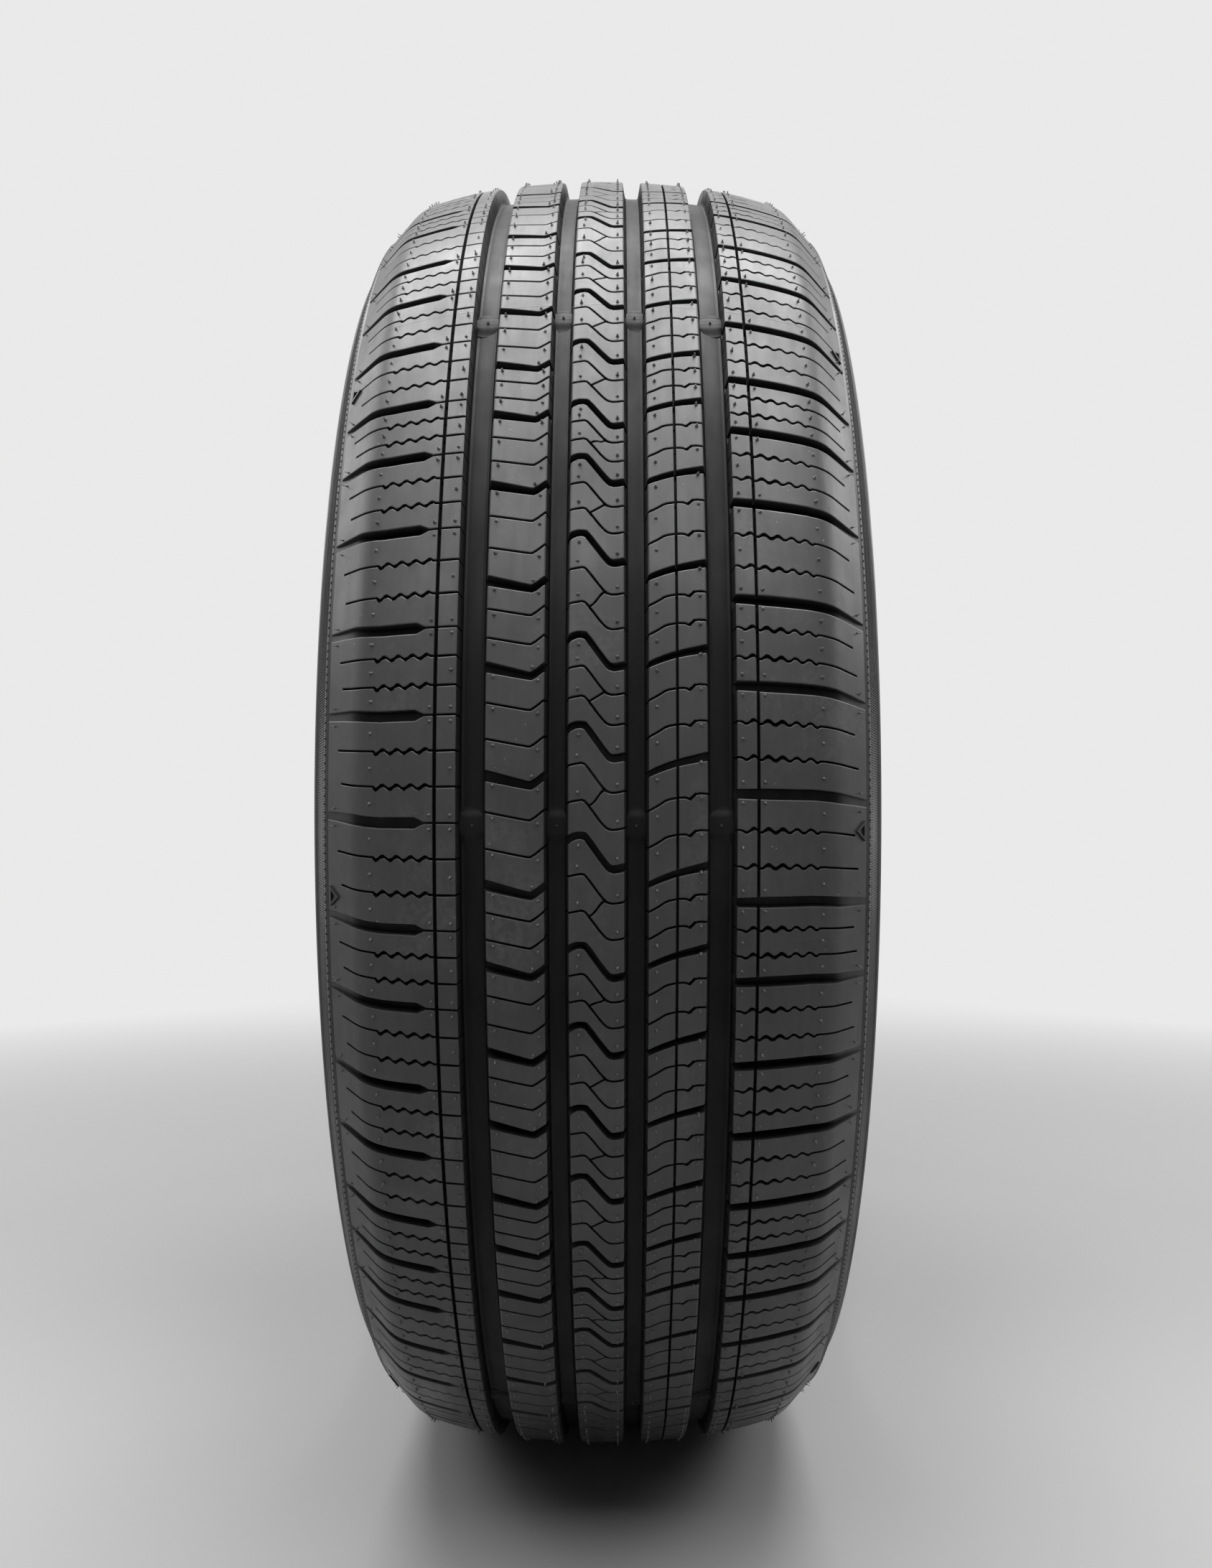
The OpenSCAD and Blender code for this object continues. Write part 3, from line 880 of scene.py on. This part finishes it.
def build_joints(net, given):
    """Thin raised lines across the tread, where the mould's sectors met."""
    x, _, z = net.parts(net.coords())
    turn = net.maths("SUBTRACT", net.maths("ARCTAN2", net.times(z, -1.0), x), given["First angle"])
    sector = net.times(net.maths("DIVIDE", turn, 2 * math.pi), given["Sectors"])
    wave = net.maths("PINGPONG", net.plus(sector, 64.0), 0.5)
    return [net.spread(net.maths("DIVIDE", wave, given["Sectors"]), 0.00008, 0.00022, 1, 0)]


def wiped_sheen(net):
    """Patches of fine streaks that run round the tyre, where the rubber's bloom is wiped; from 0 to 1."""
    coords = net.coords()
    streaks = net.noise(net.vector("MULTIPLY", coords, (0.16, 1.0, 0.16)), 210, 4.0, 0.7)
    patches = net.noise(coords, 26, 4.0, 0.65)
    return net.blend(net.spread(streaks, 0.36, 0.66), 0.5, net.spread(patches, 0.38, 0.62), 0.5)


def turned_rings(net, amount):
    """Faint rings about the axle, as a mould turned on a lathe leaves them; returns a height."""
    x, _, z = net.parts(net.coords())
    radius = net.maths("SQRT", net.plus(net.times(x, x), net.times(z, z)))
    return net.times(net.maths("SINE", net.times(radius, 2 * math.pi / 0.0007)), amount)


def mixed(net, factor, first, second, **settings):
    """A colour mixed from two."""
    return net.node("ShaderNodeMix", {"Factor": factor, "A": first, "B": second}, data_type="RGBA",
                    **settings).outputs["Result"]


def rubber(name, colour, look, roughness, bloom=0.16, specks=0.8, joints=False, rings=0.0):
    """A rubber material: mottled colour, dust, grain, painted shade and duller sheen from the points' sunk value, and
    where wanted mould joints or turned rings.
    """
    material = bpy.data.materials.new(name)
    material.use_nodes = True
    net = Net(material.node_tree)
    shader = net.tree.nodes["Principled BSDF"]
    grain = shader_group(net, "Rubber grain", {"Fineness": 1.0}, ["Height", "Mottle"], build_grain)
    dust = shader_group(net, "Dust and bloom", {"Speck amount": specks, "Bloom amount": bloom}, ["Mask"], build_dust)
    # Painted shade: the points' sunk value darkens the colour and dulls the sheen in grooves, cuts and the other places
    # given it, and keeps the dust off there
    sunk = net.node("ShaderNodeAttribute", attribute_name="sunk").outputs["Fac"]
    tones = mixed(net, grain["Mottle"], *[(*[c * tone for c in colour], 1) for tone in (0.82, 1.22)])
    shade = mixed(net, 1.0, tones, net.spread(sunk, 0.1, 1, 1, look.deepest_painted_shade), blend_type="MULTIPLY")
    bare = net.maths("SUBTRACT", 1.0, sunk)
    wiped = wiped_sheen(net)
    rough = net.spread(grain["Mottle"], 0, 1, roughness + 0.07, roughness - 0.07)
    rough = net.maths("SUBTRACT", rough, net.times(wiped, 0.09))
    height = grain["Height"]
    if joints:
        lines = shader_group(net, "Mould joints", {"Sectors": 8.0, "First angle": math.radians(8.1)}, ["Line"],
                             build_joints)
        height = net.plus(height, net.times(lines["Line"], 4.0))
    if rings:
        height = net.plus(height, turned_rings(net, rings))
    net.feed(shader, {
        "IOR": 1.5,
        "Base Color": mixed(net, net.times(dust["Mask"], bare), shade, (*look.dust_colour, 1)),
        "Specular IOR Level": net.times(net.spread(sunk, 0.1, 1, 0.5, look.sunk_sheen),
                                        net.plus(net.times(wiped, 0.3), 0.78)),
        "Roughness": net.plus(rough, net.times(dust["Mask"], 0.3)),
        "Normal": net.node("ShaderNodeBump", {"Strength": 0.55, "Distance": look.grain_depth,
                                              "Height": height}).outputs["Normal"]})


def materials(look):
    """The rubber finishes, made once and shared by the pieces."""
    if "Tread rubber" not in bpy.data.materials:
        rubber("Tread rubber", look.tread_colour, look, look.tread_roughness, joints=True)
        # The pins' rubber is painted lighter than the tread: a painted highlight on the tips that catch the light
        rubber("Pin rubber", [2.5 * c for c in look.tread_colour], look, look.tread_roughness, 0.1, 0.0)
        rubber("Sidewall rubber", look.wall_colour, look, look.wall_roughness, 0.15, 0.25, rings=0.25)
    return bpy.data.materials


# Operators

class TYRE_OT_ribs(bpy.types.Operator):
    """Build the five ribs of the tread with their grooves and slits"""
    bl_idname = "tyre.ribs"
    bl_label = "Tread ribs"

    def execute(self, context):
        sizes = context.scene.tyre_tread
        material = materials(context.scene.tyre_look)["Tread rubber"]
        for rib in ribs_of(sizes):
            tile = new_object(rib.name + "_tile", tile_mesh(rib, sizes))
            seated(grown("rib_" + rib.name, pitch_points(sizes, rib),
                         geometry_tree("Tread rib", PITCH_INPUTS, build_rib),
                         {"Tile": tile, "Tread radius": TREAD_RADIUS, "Ground": FLAT_RADIUS,
                          "Crease": sizes.crease, "Material": material}, [tile]))
        return {"FINISHED"}


# Band below the shoulder's edge: each corner's share of the way out and its distance below the edge in mm
BAND_OUTLINE = [
    (-0.01, 1.3), (0.105, 1.4), (0.16, 1.6), (0.2, 2.0), (0.23, 2.9), (0.26, 3.7), (0.47, 8.2), (0.69, 12.7),
    (0.80, 13.2), (0.835, 13.6), (0.85, 14.2), (0.83, 15.0), (0.77, 15.6),
    (0.88, 15.9), (0.92, 16.4), (0.935, 17.2), (0.93, 18.2), (0.865, 19.2)]
# Corners of that outline between which the fine ribs stand, and the place of the small beads
BAND_RIB_CORNERS = BAND_OUTLINE[5], BAND_OUTLINE[7]
BEAD_PLACE = 0.18, 1.75
# Raised rings on the sidewall: radius and height in mm
WALL_RINGS = [(304.5, 0.35), (247, 0.35), (241, 0.5), (236.5, 0.5)]


def band_points(tread, steps):
    """Points of the side band in mm, from their shares of the way out and distances below the edge."""
    edge, out = tread.edge_place / MM, (HALF_WIDTH - tread.edge_place) / MM
    edge_r = TreadSurface(tread).radius(tread.edge_place) / MM
    return [(edge + share * out, edge_r - drop) for share, drop in steps]


def casing_outline(sizes, tread):
    """The casing's outline as (across, radius) points, anticlockwise from the left edge under the tread."""
    surface = TreadSurface(tread)
    (edge, edge_r), = band_points(tread, [(0, 0)])
    half, seat, bead_r, heel = (size / MM for size in (HALF_WIDTH, SEAT_RADIUS, sizes.rim_radius, sizes.rim_width / 2))
    toe, height, crown = heel - 17, TREAD_RADIUS / MM - bead_r, (TREAD_RADIUS - sizes.crown_gauge) / MM

    def wall_points(*steps):
        return [(half - inset, bead_r + share * height) for inset, share in steps]

    wall = wall_lines(smooth_curve(
        [(half - 1.3, edge_r - 20.4), *wall_points((0.3, 0.57), (0, 0.47), (2.5, 0.36), (9.5, 0.25), (20, 0.16)),
         (heel + 3, bead_r + 8)], 7))
    bead = [(heel - 0.4, bead_r + 5.5), (heel - 1.4, bead_r + 2.2), (heel - 2.4, bead_r + 0.7), (heel - 4, bead_r),
            (toe + 5, seat), (toe + 0.3, seat), (toe - 0.3, seat + 0.4)]
    inside = smooth_curve(
        [(toe - 0.8, seat + 2), (toe + 2.5, seat + 15), (toe + 14, bead_r + 0.17 * height),
         *wall_points((21, 0.25), (10.5, 0.37), (7.4, 0.51), (11, 0.68), (24, 0.80)),
         (half - 46, crown - 5.5), (40, crown - 1.8), (0, crown)], 4)
    under = [(place / MM, (surface.radius(place) - depth) / MM - below) for place, depth, below in (
        (0, tread.groove_depth, 1.2), (tread.outer_groove_place, tread.groove_depth, 1.2),
        (70 * MM, tread.cross_depth, 1.4), (tread.bend_place, tread.cross_depth, 1.4))]
    under += [(edge - 3, edge_r - 2.6), (edge - 0.8, edge_r - 1.3)]
    right = under[1:] + band_points(tread, BAND_OUTLINE) + wall + bead + inside[:-1]
    outline = [under[0]] + right + [inside[-1]] + [(-y, r) for y, r in reversed(right)]
    return [(y * MM, r * MM) for y, r in outline]


def smooth_curve(points, steps):
    """A smooth curve through points, with the same number of steps between each two."""
    last, result = len(points) - 1, []
    for i in range(last):
        p = [points[max(0, min(last, j))] for j in range(i - 1, i + 3)]
        for t in (k / steps for k in range(steps)):
            result.append(tuple(0.5 * (2 * b + (c - a) * t + (2 * a - 5 * b + 4 * c - d) * t ** 2
                                       + (3 * b - a - 3 * c + d) * t ** 3) for a, b, c, d in zip(*p)))
    return result + [points[-1]]


def wall_lines(wall):
    """Adds thin raised rings to the sidewall's curve in mm, as moulds leave near the shoulder and the rim."""
    result = []
    for (y1, r1), (y2, r2) in zip(wall, wall[1:]):
        result.append((y1, r1))
        run = math.hypot(y2 - y1, r2 - r1)
        along, up = (y2 - y1) / run, (r2 - r1) / run
        for ring, high in WALL_RINGS:
            if r2 < ring <= r1:
                y = y1 + (r1 - ring) / (r1 - r2) * (y2 - y1)
                result += [(y + along * offset - up * lift, ring + up * offset + along * lift)
                           for offset, lift in ((-0.7, 0), (-0.3, high), (0.3, high), (0.7, 0))]
    return result + [wall[-1]]


class TYRE_OT_casing(bpy.types.Operator):
    """Build the sidewalls, beads and inner liner as one closed ring"""
    bl_idname = "tyre.casing"
    bl_label = "Casing"

    def execute(self, context):
        sizes, tread = context.scene.tyre_casing, context.scene.tyre_tread
        mesh = turned("casing", casing_outline(sizes, tread), sizes.turns)
        finished_piece("casing", mesh, materials(context.scene.tyre_look)["Sidewall rubber"], tread.crease)
        return {"FINISHED"}


class TYRE_OT_side_bands(bpy.types.Operator):
    """Build the fine ribs and small beads round both side bands"""
    bl_idname = "tyre.side_bands"
    bl_label = "Side bands"

    def execute(self, context):
        sizes, tread = context.scene.tyre_casing, context.scene.tyre_tread
        tree = geometry_tree("Repeat round the axle", {"Shape": "Object", "Count": "Int", **FINISH_INPUTS}, build_round)
        for side, label in ((1, "right"), (-1, "left")):
            for kind, count, shape in (
                    ("ribs", sizes.band_ribs, band_rib(band_points(tread, BAND_RIB_CORNERS), side, sizes.band_ribs)),
                    ("beads", sizes.beads, small_bead(band_points(tread, [BEAD_PLACE])[0], side))):
                tile = new_object("one_" + kind, shape)
                seated(grown("band_%s_%s" % (kind, label), mesh_from("empty", [(0, 0, 0)], []), tree, {
                    "Shape": tile, "Count": count, "Crease": tread.crease,
                    "Material": materials(context.scene.tyre_look)["Sidewall rubber"]}, [tile]))
        return {"FINISHED"}


def band_rib(corners, side, count):
    """One fine rib of the side band: a small ridge with sloped flanks, closed and sunk into the band."""
    (y1, r1), (y2, r2) = corners
    run = math.hypot(y2 - y1, r2 - r1)
    along, up = (y2 - y1) / run, (r2 - r1) / run
    verts = []
    for at, width, lift in ((0.5, 0.36, 0), (0.9, 0.2, 0.38), (run - 0.9, 0.2, 0.38), (run - 0.5, 0.36, 0)):
        for step, high in ((-2.2 * width, -0.35), (-width, lift), (width, lift), (2.2 * width, -0.35)):
            verts.append(round_axle((r1 + up * at + along * high) * MM, side * (y1 + along * at - up * high) * MM,
                                    step * math.pi / count))
    faces = []
    for i in (0, 4, 8):
        faces += [(i + j, i + j + 4, i + j + 5, i + j + 1) for j in range(3)] + [(i, i + 3, i + 7, i + 4)]
    faces += [(0, 1, 2, 3), (15, 14, 13, 12)]
    return mesh_from("band_rib", verts, faces if side < 0 else flipped(faces))


def small_bead(dot, side):
    """One small bead: a low six-sided button, closed and sunk into the band."""
    (y, r), verts, sides = dot, [], 6
    for lift, wide in ((-0.3, 0.75), (0.25, 0.6), (0.5, 0.3)):
        for cosine, sine in circle(sides):
            out = 0.4 * wide * sine
            verts.append(((r + 0.8 * lift - 0.6 * out) * MM, side * (y + 0.45 * lift + out) * MM,
                          -wide * cosine * MM))
    faces = stacked(3, sides) + [tuple(range(2 * sides, 3 * sides))]
    return mesh_from("bead", verts, faces if side < 0 else flipped(faces))


class TYRE_OT_pins(bpy.types.Operator):
    """Stand the little moulding pins on the tread and the shoulders"""
    bl_idname = "tyre.pins"
    bl_label = "Moulding pins"

    def execute(self, context):
        tread, sizes = context.scene.tyre_tread, context.scene.tyre_pins
        surface, nominal = TreadSurface(tread), nominal_pitch(tread)
        tree = geometry_tree("Moulding pins", {**PITCH_INPUTS, "Pin": "Object", "Lean": "Float", "Seed": "Int"},
                             build_pins)
        pin = new_object("one_pin", pin_mesh())
        for rib in ribs_of(tread):
            # Each kind of pin's lean, radius and height
            kinds = [(2.2, sizes.hair_radius, sizes.hair_height) if abs(u) > 100
                     else (0.6, sizes.nub_radius, sizes.nub_height) for u, _, _ in rib.pins]
            bendy, thick, tall = zip(*kinds)
            tile = new_object("spots", mesh_from("spots", [
                (share * nominal + t * MM, u * MM, surface.radius(u * MM)) for u, share, t in rib.pins], [], {
                    "share": [share for _, share, _ in rib.pins],
                    "slope": [surface.slope(u * MM) for u, _, _ in rib.pins],
                    "bendy": bendy, "thick": thick, "tall": tall}))
            made = grown("pins_" + rib.name, pitch_points(tread, rib), tree, {
                "Tile": tile, "Tread radius": TREAD_RADIUS, "Ground": FLAT_RADIUS, "Crease": sizes.crease,
                "Pin": pin, "Lean": sizes.lean, "Seed": sizes.seed,
                "Material": materials(context.scene.tyre_look)["Pin rubber"]}, [tile])
            # The ground under the soft tread flattens the pins too
            for vertex in made.data.vertices:
                vertex.co.z = max(vertex.co.z, -FLAT_RADIUS)
            seated(made)
        dropped(pin)
        return {"FINISHED"}


def pin_mesh(sides=6):
    """A pin of unit radius and height, a stub on a wider foot, closed and sunk a little."""
    # Height, radius and painted shade of each ring: the foot is painted dark, a painted ring of shade round the pin
    rings = ((-0.2, 1.35, 1), (0.18, 0.8, 0.5), (0.32, 0.49, 0), (0.92, 0.39, 0))
    verts = [(wide * cosine, wide * sine, high) for high, wide, _ in rings for cosine, sine in circle(sides)]
    top, last = len(verts), len(verts) - sides
    faces = stacked(len(rings), sides) + [(last + k, last + (k + 1) % sides, top) for k in range(sides)]
    return mesh_from("pin", verts + [(0, 0, 1.0)], faces,
                     {"sunk": [shade for _, _, shade in rings for k in range(sides)] + [0]})


def bar_angles(sizes):
    """Angles of the wear bars' middles, in pairs that repeat round the tyre."""
    return [sizes.first_bar + 2 * math.pi * k / sizes.pairs + turn
            for k in range(sizes.pairs) for turn in (0, sizes.second_bar)]


class TYRE_OT_marks(bpy.types.Operator):
    """Build the small triangles on the shoulders that show where the wear bars are"""
    bl_idname = "tyre.marks"
    bl_label = "Triangles"

    def execute(self, context):
        tread, sizes = context.scene.tyre_tread, context.scene.tyre_marks
        surface = TreadSurface(tread)
        middle = (sizes.mark_inner + 2 * sizes.mark_outer) / 3
        corners = [(sizes.mark_inner, 0), (sizes.mark_outer, sizes.mark_half), (sizes.mark_outer, -sizes.mark_half)]
        # Three corners each of the outer and the inner triangle below the rubber, then of both above it
        points = [(middle + (u - middle) * size, t * size, lift) for lift in (-0.4 * MM, sizes.mark_lift)
                  for size in (1, 0.56) for u, t in corners]
        new = []
        for k, n in ((0, 1), (1, 2), (2, 0)):
            new += [(6 + k, 6 + n, 9 + n, 9 + k), (k, n, 6 + n, 6 + k), (3 + n, 3 + k, 9 + k, 9 + n),
                    (n, k, 3 + k, 3 + n)]
        verts, faces = [], []
        for side, turn in ((1, sizes.right_mark), (-1, sizes.left_mark)):
            for bar in bar_angles(sizes):
                faces += [tuple(len(verts) + i for i in face) for face in (new if side < 0 else flipped(new))]
                for u, t, lift in points:
                    r = surface.radius(u) + lift
                    verts.append(round_axle(r, side * (u + lift), bar + turn + t / r))
        # Painted shade: the raised triangles are painted darker than the rubber round them
        mesh = mesh_from("marks", verts, faces, {"sunk": [0.55] * len(verts)})
        mesh.materials.append(materials(context.scene.tyre_look)["Tread rubber"])
        seated(new_object("marks", mesh))
        return {"FINISHED"}


class TYRE_OT_wear_bars(bpy.types.Operator):
    """Build the wear bars in the main grooves"""
    bl_idname = "tyre.wear_bars"
    bl_label = "Wear bars"

    def execute(self, context):
        tread, sizes = context.scene.tyre_tread, context.scene.tyre_marks
        surface = TreadSurface(tread)
        bars = [(side * place, width, surface.radius(place) - tread.groove_depth, middle)
                for place, width in ((tread.outer_groove_place, tread.outer_groove_width),
                                     (tread.inner_groove_place, tread.inner_groove_width))
                for side in (-1, 1) for middle in bar_angles(sizes)]
        verts, faces = [], []
        for place, width, floor, middle in bars:
            add_bar(verts, faces, sizes, place, width, floor, middle)
        # The bars take the full painted shade of the groove floor they stand on
        sunk = [1.0] * len(verts)
        pin = pin_mesh()
        for place, _, floor, middle in bars:
            add_pin(verts, faces, pin, sizes.pin_radius, floor + sizes.bar_height, place, middle)
        bpy.data.meshes.remove(pin)
        # The pins on the bars take only a little painted shade
        sunk += [0.2] * (len(verts) - len(sunk))
        finished_piece("wear_bars", mesh_from("wear_bars", verts, faces, {"sunk": sunk}),
                       materials(context.scene.tyre_look)["Tread rubber"], tread.crease)
        return {"FINISHED"}


def add_bar(verts, faces, sizes, place, width, floor, middle, parts=6):
    """One wear bar: a low block across a main groove with sloped ends, closed and sunk into the floor."""
    half, ramp, below, gap = sizes.bar_length / 2, sizes.bar_ramp, -2 * MM, 0.6 * MM
    swell = [(half + ramp * (1 - k / parts), sizes.bar_height * (1 - math.cos(math.pi * k / parts)) / 2)
             for k in range(parts + 1)]
    rows = [(-half - ramp, below)] + [(-along, lift) for along, lift in swell] + swell[::-1] + [(half + ramp, below)]
    # Each column's place across the groove and its share of the bar's length
    columns = [(gap - 0.5 * width, 0.72), (-0.38 * width, 0.9), (-0.2 * width, 1)]
    columns += [(-y, reach) for y, reach in reversed(columns)]
    first, across = len(verts), len(columns)
    verts += [round_axle(floor + lift, place + y, middle + along * reach / floor)
              for along, lift in rows for y, reach in columns]
    starts = [first + k * across for k in range(len(rows))]
    for here, after in zip(starts, starts[1:] + starts[:1]):
        faces += [(here + j, after + j, after + j + 1, here + j + 1) for j in range(across - 1)]
    faces += [tuple(reversed(starts)), tuple(start + across - 1 for start in starts)]


def add_pin(verts, faces, pin, radius, foot, place, angle):
    """A pin that stands on a wear bar, somewhat longer than wide."""
    faces += [tuple(len(verts) + i for i in polygon.vertices) for polygon in pin.polygons]
    for x, y, z in (vertex.co * radius for vertex in pin.vertices):
        r = foot + 1.7 * z
        verts.append((r * math.cos(angle) - x * math.sin(angle), place + y,
                      -r * math.sin(angle) - x * math.cos(angle)))


class TYRE_OT_stage(bpy.types.Operator):
    """Set the floor, the lamps, the world and the camera"""
    bl_idname = "tyre.stage"
    bl_label = "Stage"

    def execute(self, context):
        sizes, scene = context.scene.tyre_stage, context.scene
        reach, back, bend = sizes.floor_reach, sizes.wall_place, 1
        turns = [math.pi / 2 * k / 16 for k in range(17)]
        rows = [(reach, 0)] + [(bend * (1 - math.sin(a)) - back, bend * (1 - math.cos(a))) for a in turns]
        rows.append((-back, reach))
        verts = [(x, y, z - FLAT_RADIUS) for x, z in rows for y in (-reach, reach)]
        faces = [(k, k + 1, k + 3, k + 2) for k in range(0, len(verts) - 2, 2)]
        floor_mesh = mesh_from("floor", verts, faces)
        floor_mesh.polygons.foreach_set("use_smooth", [True] * len(faces))
        floor_mesh.materials.append(floor_material(sizes))
        new_object("floor", floor_mesh)

        # Each lamp's place, target, size and power
        lamp("overhead", (0.2, 0.0, 1.15), (0.2, 0.0, 0.1), (0.9, 1.3), 25)
        lamp("front", (0.85, 0.0, 0.87), (0.3, 0.0, 0.15), (1.4, 0.7), 8.5)
        lamp("left_fill", (-0.4, -1.9, 1.3), (0.2, 0.0, 0.1), (1.8, 1.3), 18)
        lamp("right_fill", (-0.4, 1.9, 1.3), (0.2, 0.0, 0.1), (1.8, 1.3), 19)
        scene.world = studio_world(sizes)

        lens = bpy.data.cameras.new("camera")
        lens.lens, lens.sensor_width, lens.clip_start = sizes.lens, 36, 0.01
        lens.shift_x, lens.shift_y = sizes.shift_x, sizes.shift_y
        camera = new_object("camera", lens)
        camera.location = (sizes.camera_distance, sizes.camera_side, 0)
        camera.rotation_euler = (math.pi / 2, 0, math.pi / 2)
        scene.camera = camera
        scene.view_settings.view_transform = "Standard"
        return {"FINISHED"}


def lamp(name, place, target, size, power):
    """A soft rectangular lamp at a place, turned to a target."""
    data = bpy.data.lights.new(name, "AREA")
    data.shape, data.size, data.size_y, data.energy = "RECTANGLE", size[0], size[1], power
    made = new_object(name, data)
    made.location = place
    made.rotation_euler = (Vector(target) - Vector(place)).to_track_quat("-Z", "Y").to_euler()


def seen_rays(net):
    """1 for the rays that show the background: camera, glossy and transmission rays."""
    path = net.node("ShaderNodeLightPath").outputs
    return net.maths("MAXIMUM", path["Is Camera Ray"],
                     net.maths("MAXIMUM", path["Is Glossy Ray"], path["Is Transmission Ray"]))


def studio_world(sizes):
    """Dim even light, which shows as the same pale backdrop where it is seen."""
    world = bpy.data.worlds.new("Studio")
    world.use_nodes = True
    net = Net(world.node_tree)
    net.feed(net.tree.nodes["Background"], {"Color": (1, 1, 1, 1), "Strength": net.spread(
        seen_rays(net), 0, 1, sizes.world_light, sizes.backdrop_level)})
    return world


def floor_material(sizes):
    """A pale matt floor that turns into an even pale backdrop away from the tyre."""
    material = bpy.data.materials.new("Studio floor")
    material.use_nodes = True
    net = Net(material.node_tree)
    shader = net.tree.nodes["Principled BSDF"]
    net.feed(shader, {"Base Color": (*sizes.floor_colour, 1), "Roughness": 0.8, "Specular IOR Level": 0.1})
    # The floor turns into the backdrop between these two distances from the axle, in metres
    near, far = 0.75, 1.9
    away = net.node("ShaderNodeVectorMath", [net.coords()], operation="LENGTH").outputs["Value"]
    even = net.node("ShaderNodeEmission", {"Color": (*[sizes.backdrop_level] * 3, 1)})
    mix = net.node("ShaderNodeMixShader", (net.times(net.spread(away, near, far), seen_rays(net)),
                                           shader.outputs[0], even.outputs[0]))
    net.feed(net.tree.nodes["Material Output"], {"Surface": mix.outputs[0]})
    return material


PIECES = [TYRE_OT_casing, TYRE_OT_ribs, TYRE_OT_wear_bars, TYRE_OT_marks, TYRE_OT_side_bands, TYRE_OT_pins]


class TYRE_PT_panel(bpy.types.Panel):
    """Lists the sizes and the pieces"""
    bl_label = "Tyre"
    bl_space_type = "VIEW_3D"
    bl_region_type = "UI"
    bl_category = "Tyre"

    def draw(self, context):
        for key, kind in GROUPS.items():
            box = self.layout.box()
            box.label(text=kind.__doc__)
            for name in kind.__annotations__:
                box.prop(getattr(context.scene, key), name)
        for operator in PIECES + [TYRE_OT_stage]:
            self.layout.operator(operator.bl_idname)


def register():
    """Registers the classes and puts the sizes on the scene."""
    for kind in [*GROUPS.values(), *PIECES, TYRE_OT_stage, TYRE_PT_panel]:
        bpy.utils.register_class(kind)
    for key, kind in GROUPS.items():
        setattr(bpy.types.Scene, key, PointerProperty(type=kind))


def unregister():
    """Takes the sizes and the classes away again."""
    for key in GROUPS:
        delattr(bpy.types.Scene, key)
    for kind in [TYRE_PT_panel, TYRE_OT_stage, *PIECES[::-1], *GROUPS.values()]:
        bpy.utils.unregister_class(kind)


def main():
    """Registers the classes, then builds every piece in order and the stage."""
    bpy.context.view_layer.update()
    register()
    for operator in PIECES + [TYRE_OT_stage]:
        module, name = operator.bl_idname.split(".")
        getattr(getattr(bpy.ops, module), name)()


if __name__ == "__main__":
    main()
